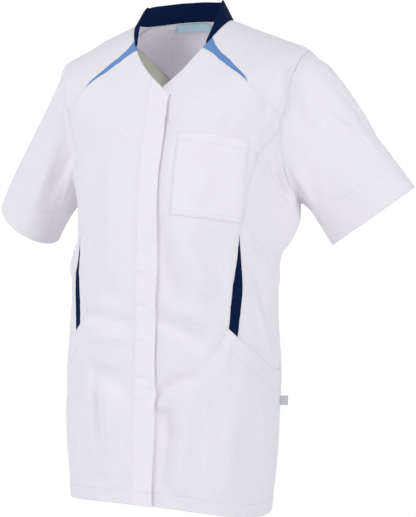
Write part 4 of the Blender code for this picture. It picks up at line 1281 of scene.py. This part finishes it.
# Studio: a pale floor below the tunic, soft lamps and an even white surround
FLOOR = -1.25
bpy.ops.mesh.primitive_plane_add(size=40, location=(0, 0, FLOOR))
floor = bpy.context.object
floor.name = "floor"
paint = bpy.data.materials.new("matt_white_paint")
paint.use_nodes = True
tree = paint.node_tree
surface = tree.nodes["Principled BSDF"]
surface.inputs["Base Color"].default_value = hex_colour("#F0F0F0")
surface.inputs["Roughness"].default_value = 1.0
glow = add(tree, "ShaderNodeEmission", {"Color": (1, 1, 1, 1), "Strength": 1.0}).outputs[0]
seen = add(tree, "ShaderNodeLightPath").outputs["Is Camera Ray"]
both = add(tree, "ShaderNodeMixShader", {0: seen, 1: surface.outputs[0], 2: glow}).outputs[0]
tree.links.new(both, tree.nodes["Material Output"].inputs["Surface"])
floor.data.materials.append(paint)


# Lamps, in metres and watts. Columns: name, place, size, power, the place it is aimed at
FRONT_MIDDLE = (0, 0, -0.35)
LAMPS = (
    ("key", (-2.5, -3.6, 3.0), 1.3, 93, FRONT_MIDDLE),
    ("fill", (4.2, -2.6, 0.2), 2.0, 80, FRONT_MIDDLE),
    ("side", (-4.0, -1.4, -0.7), 2.0, 36, FRONT_MIDDLE),
    ("behind", (1.2, 4.4, 1.6), 2.4, 52, FRONT_MIDDLE),
    # inside the body, for the back that shows through the neck
    ("hollow", (0.07, -0.01, -0.2), 0.06, 0.1, (0.07, 0.1, -0.05)),
)
for name, place_of_it, size, power, target in LAMPS:
    data = bpy.data.lights.new(name, "AREA")
    data.shape, data.size, data.energy = "SQUARE", size, power
    made = bpy.data.objects.new(name, data)
    back = np.array(place_of_it, float) - np.array(target, float)
    back /= np.linalg.norm(back)
    made.matrix_world = turned(back, unit(np.cross((0, 0, 1), back)), place_of_it)
    bpy.context.scene.collection.objects.link(made)

SURROUND, SEEN_SURROUND = 0.41, 1.05  # its light on the cloth, and as the camera sees it
world = bpy.data.worlds.new("surround")
bpy.context.scene.world = world
world.use_nodes = True
tree = world.node_tree
background = tree.nodes["Background"]
background.inputs["Color"].default_value = (1, 1, 1, 1)
background.inputs["Strength"].default_value = SURROUND
seen = add(tree, "ShaderNodeBackground", {"Color": (1, 1, 1, 1), "Strength": SEEN_SURROUND}).outputs[0]
path = add(tree, "ShaderNodeLightPath").outputs["Is Camera Ray"]
both = add(tree, "ShaderNodeMixShader", {0: path, 1: background.outputs[0], 2: seen}).outputs[0]
tree.links.new(both, tree.nodes["World Output"].inputs["Surface"])
bpy.context.scene.view_settings.view_transform = "Standard"
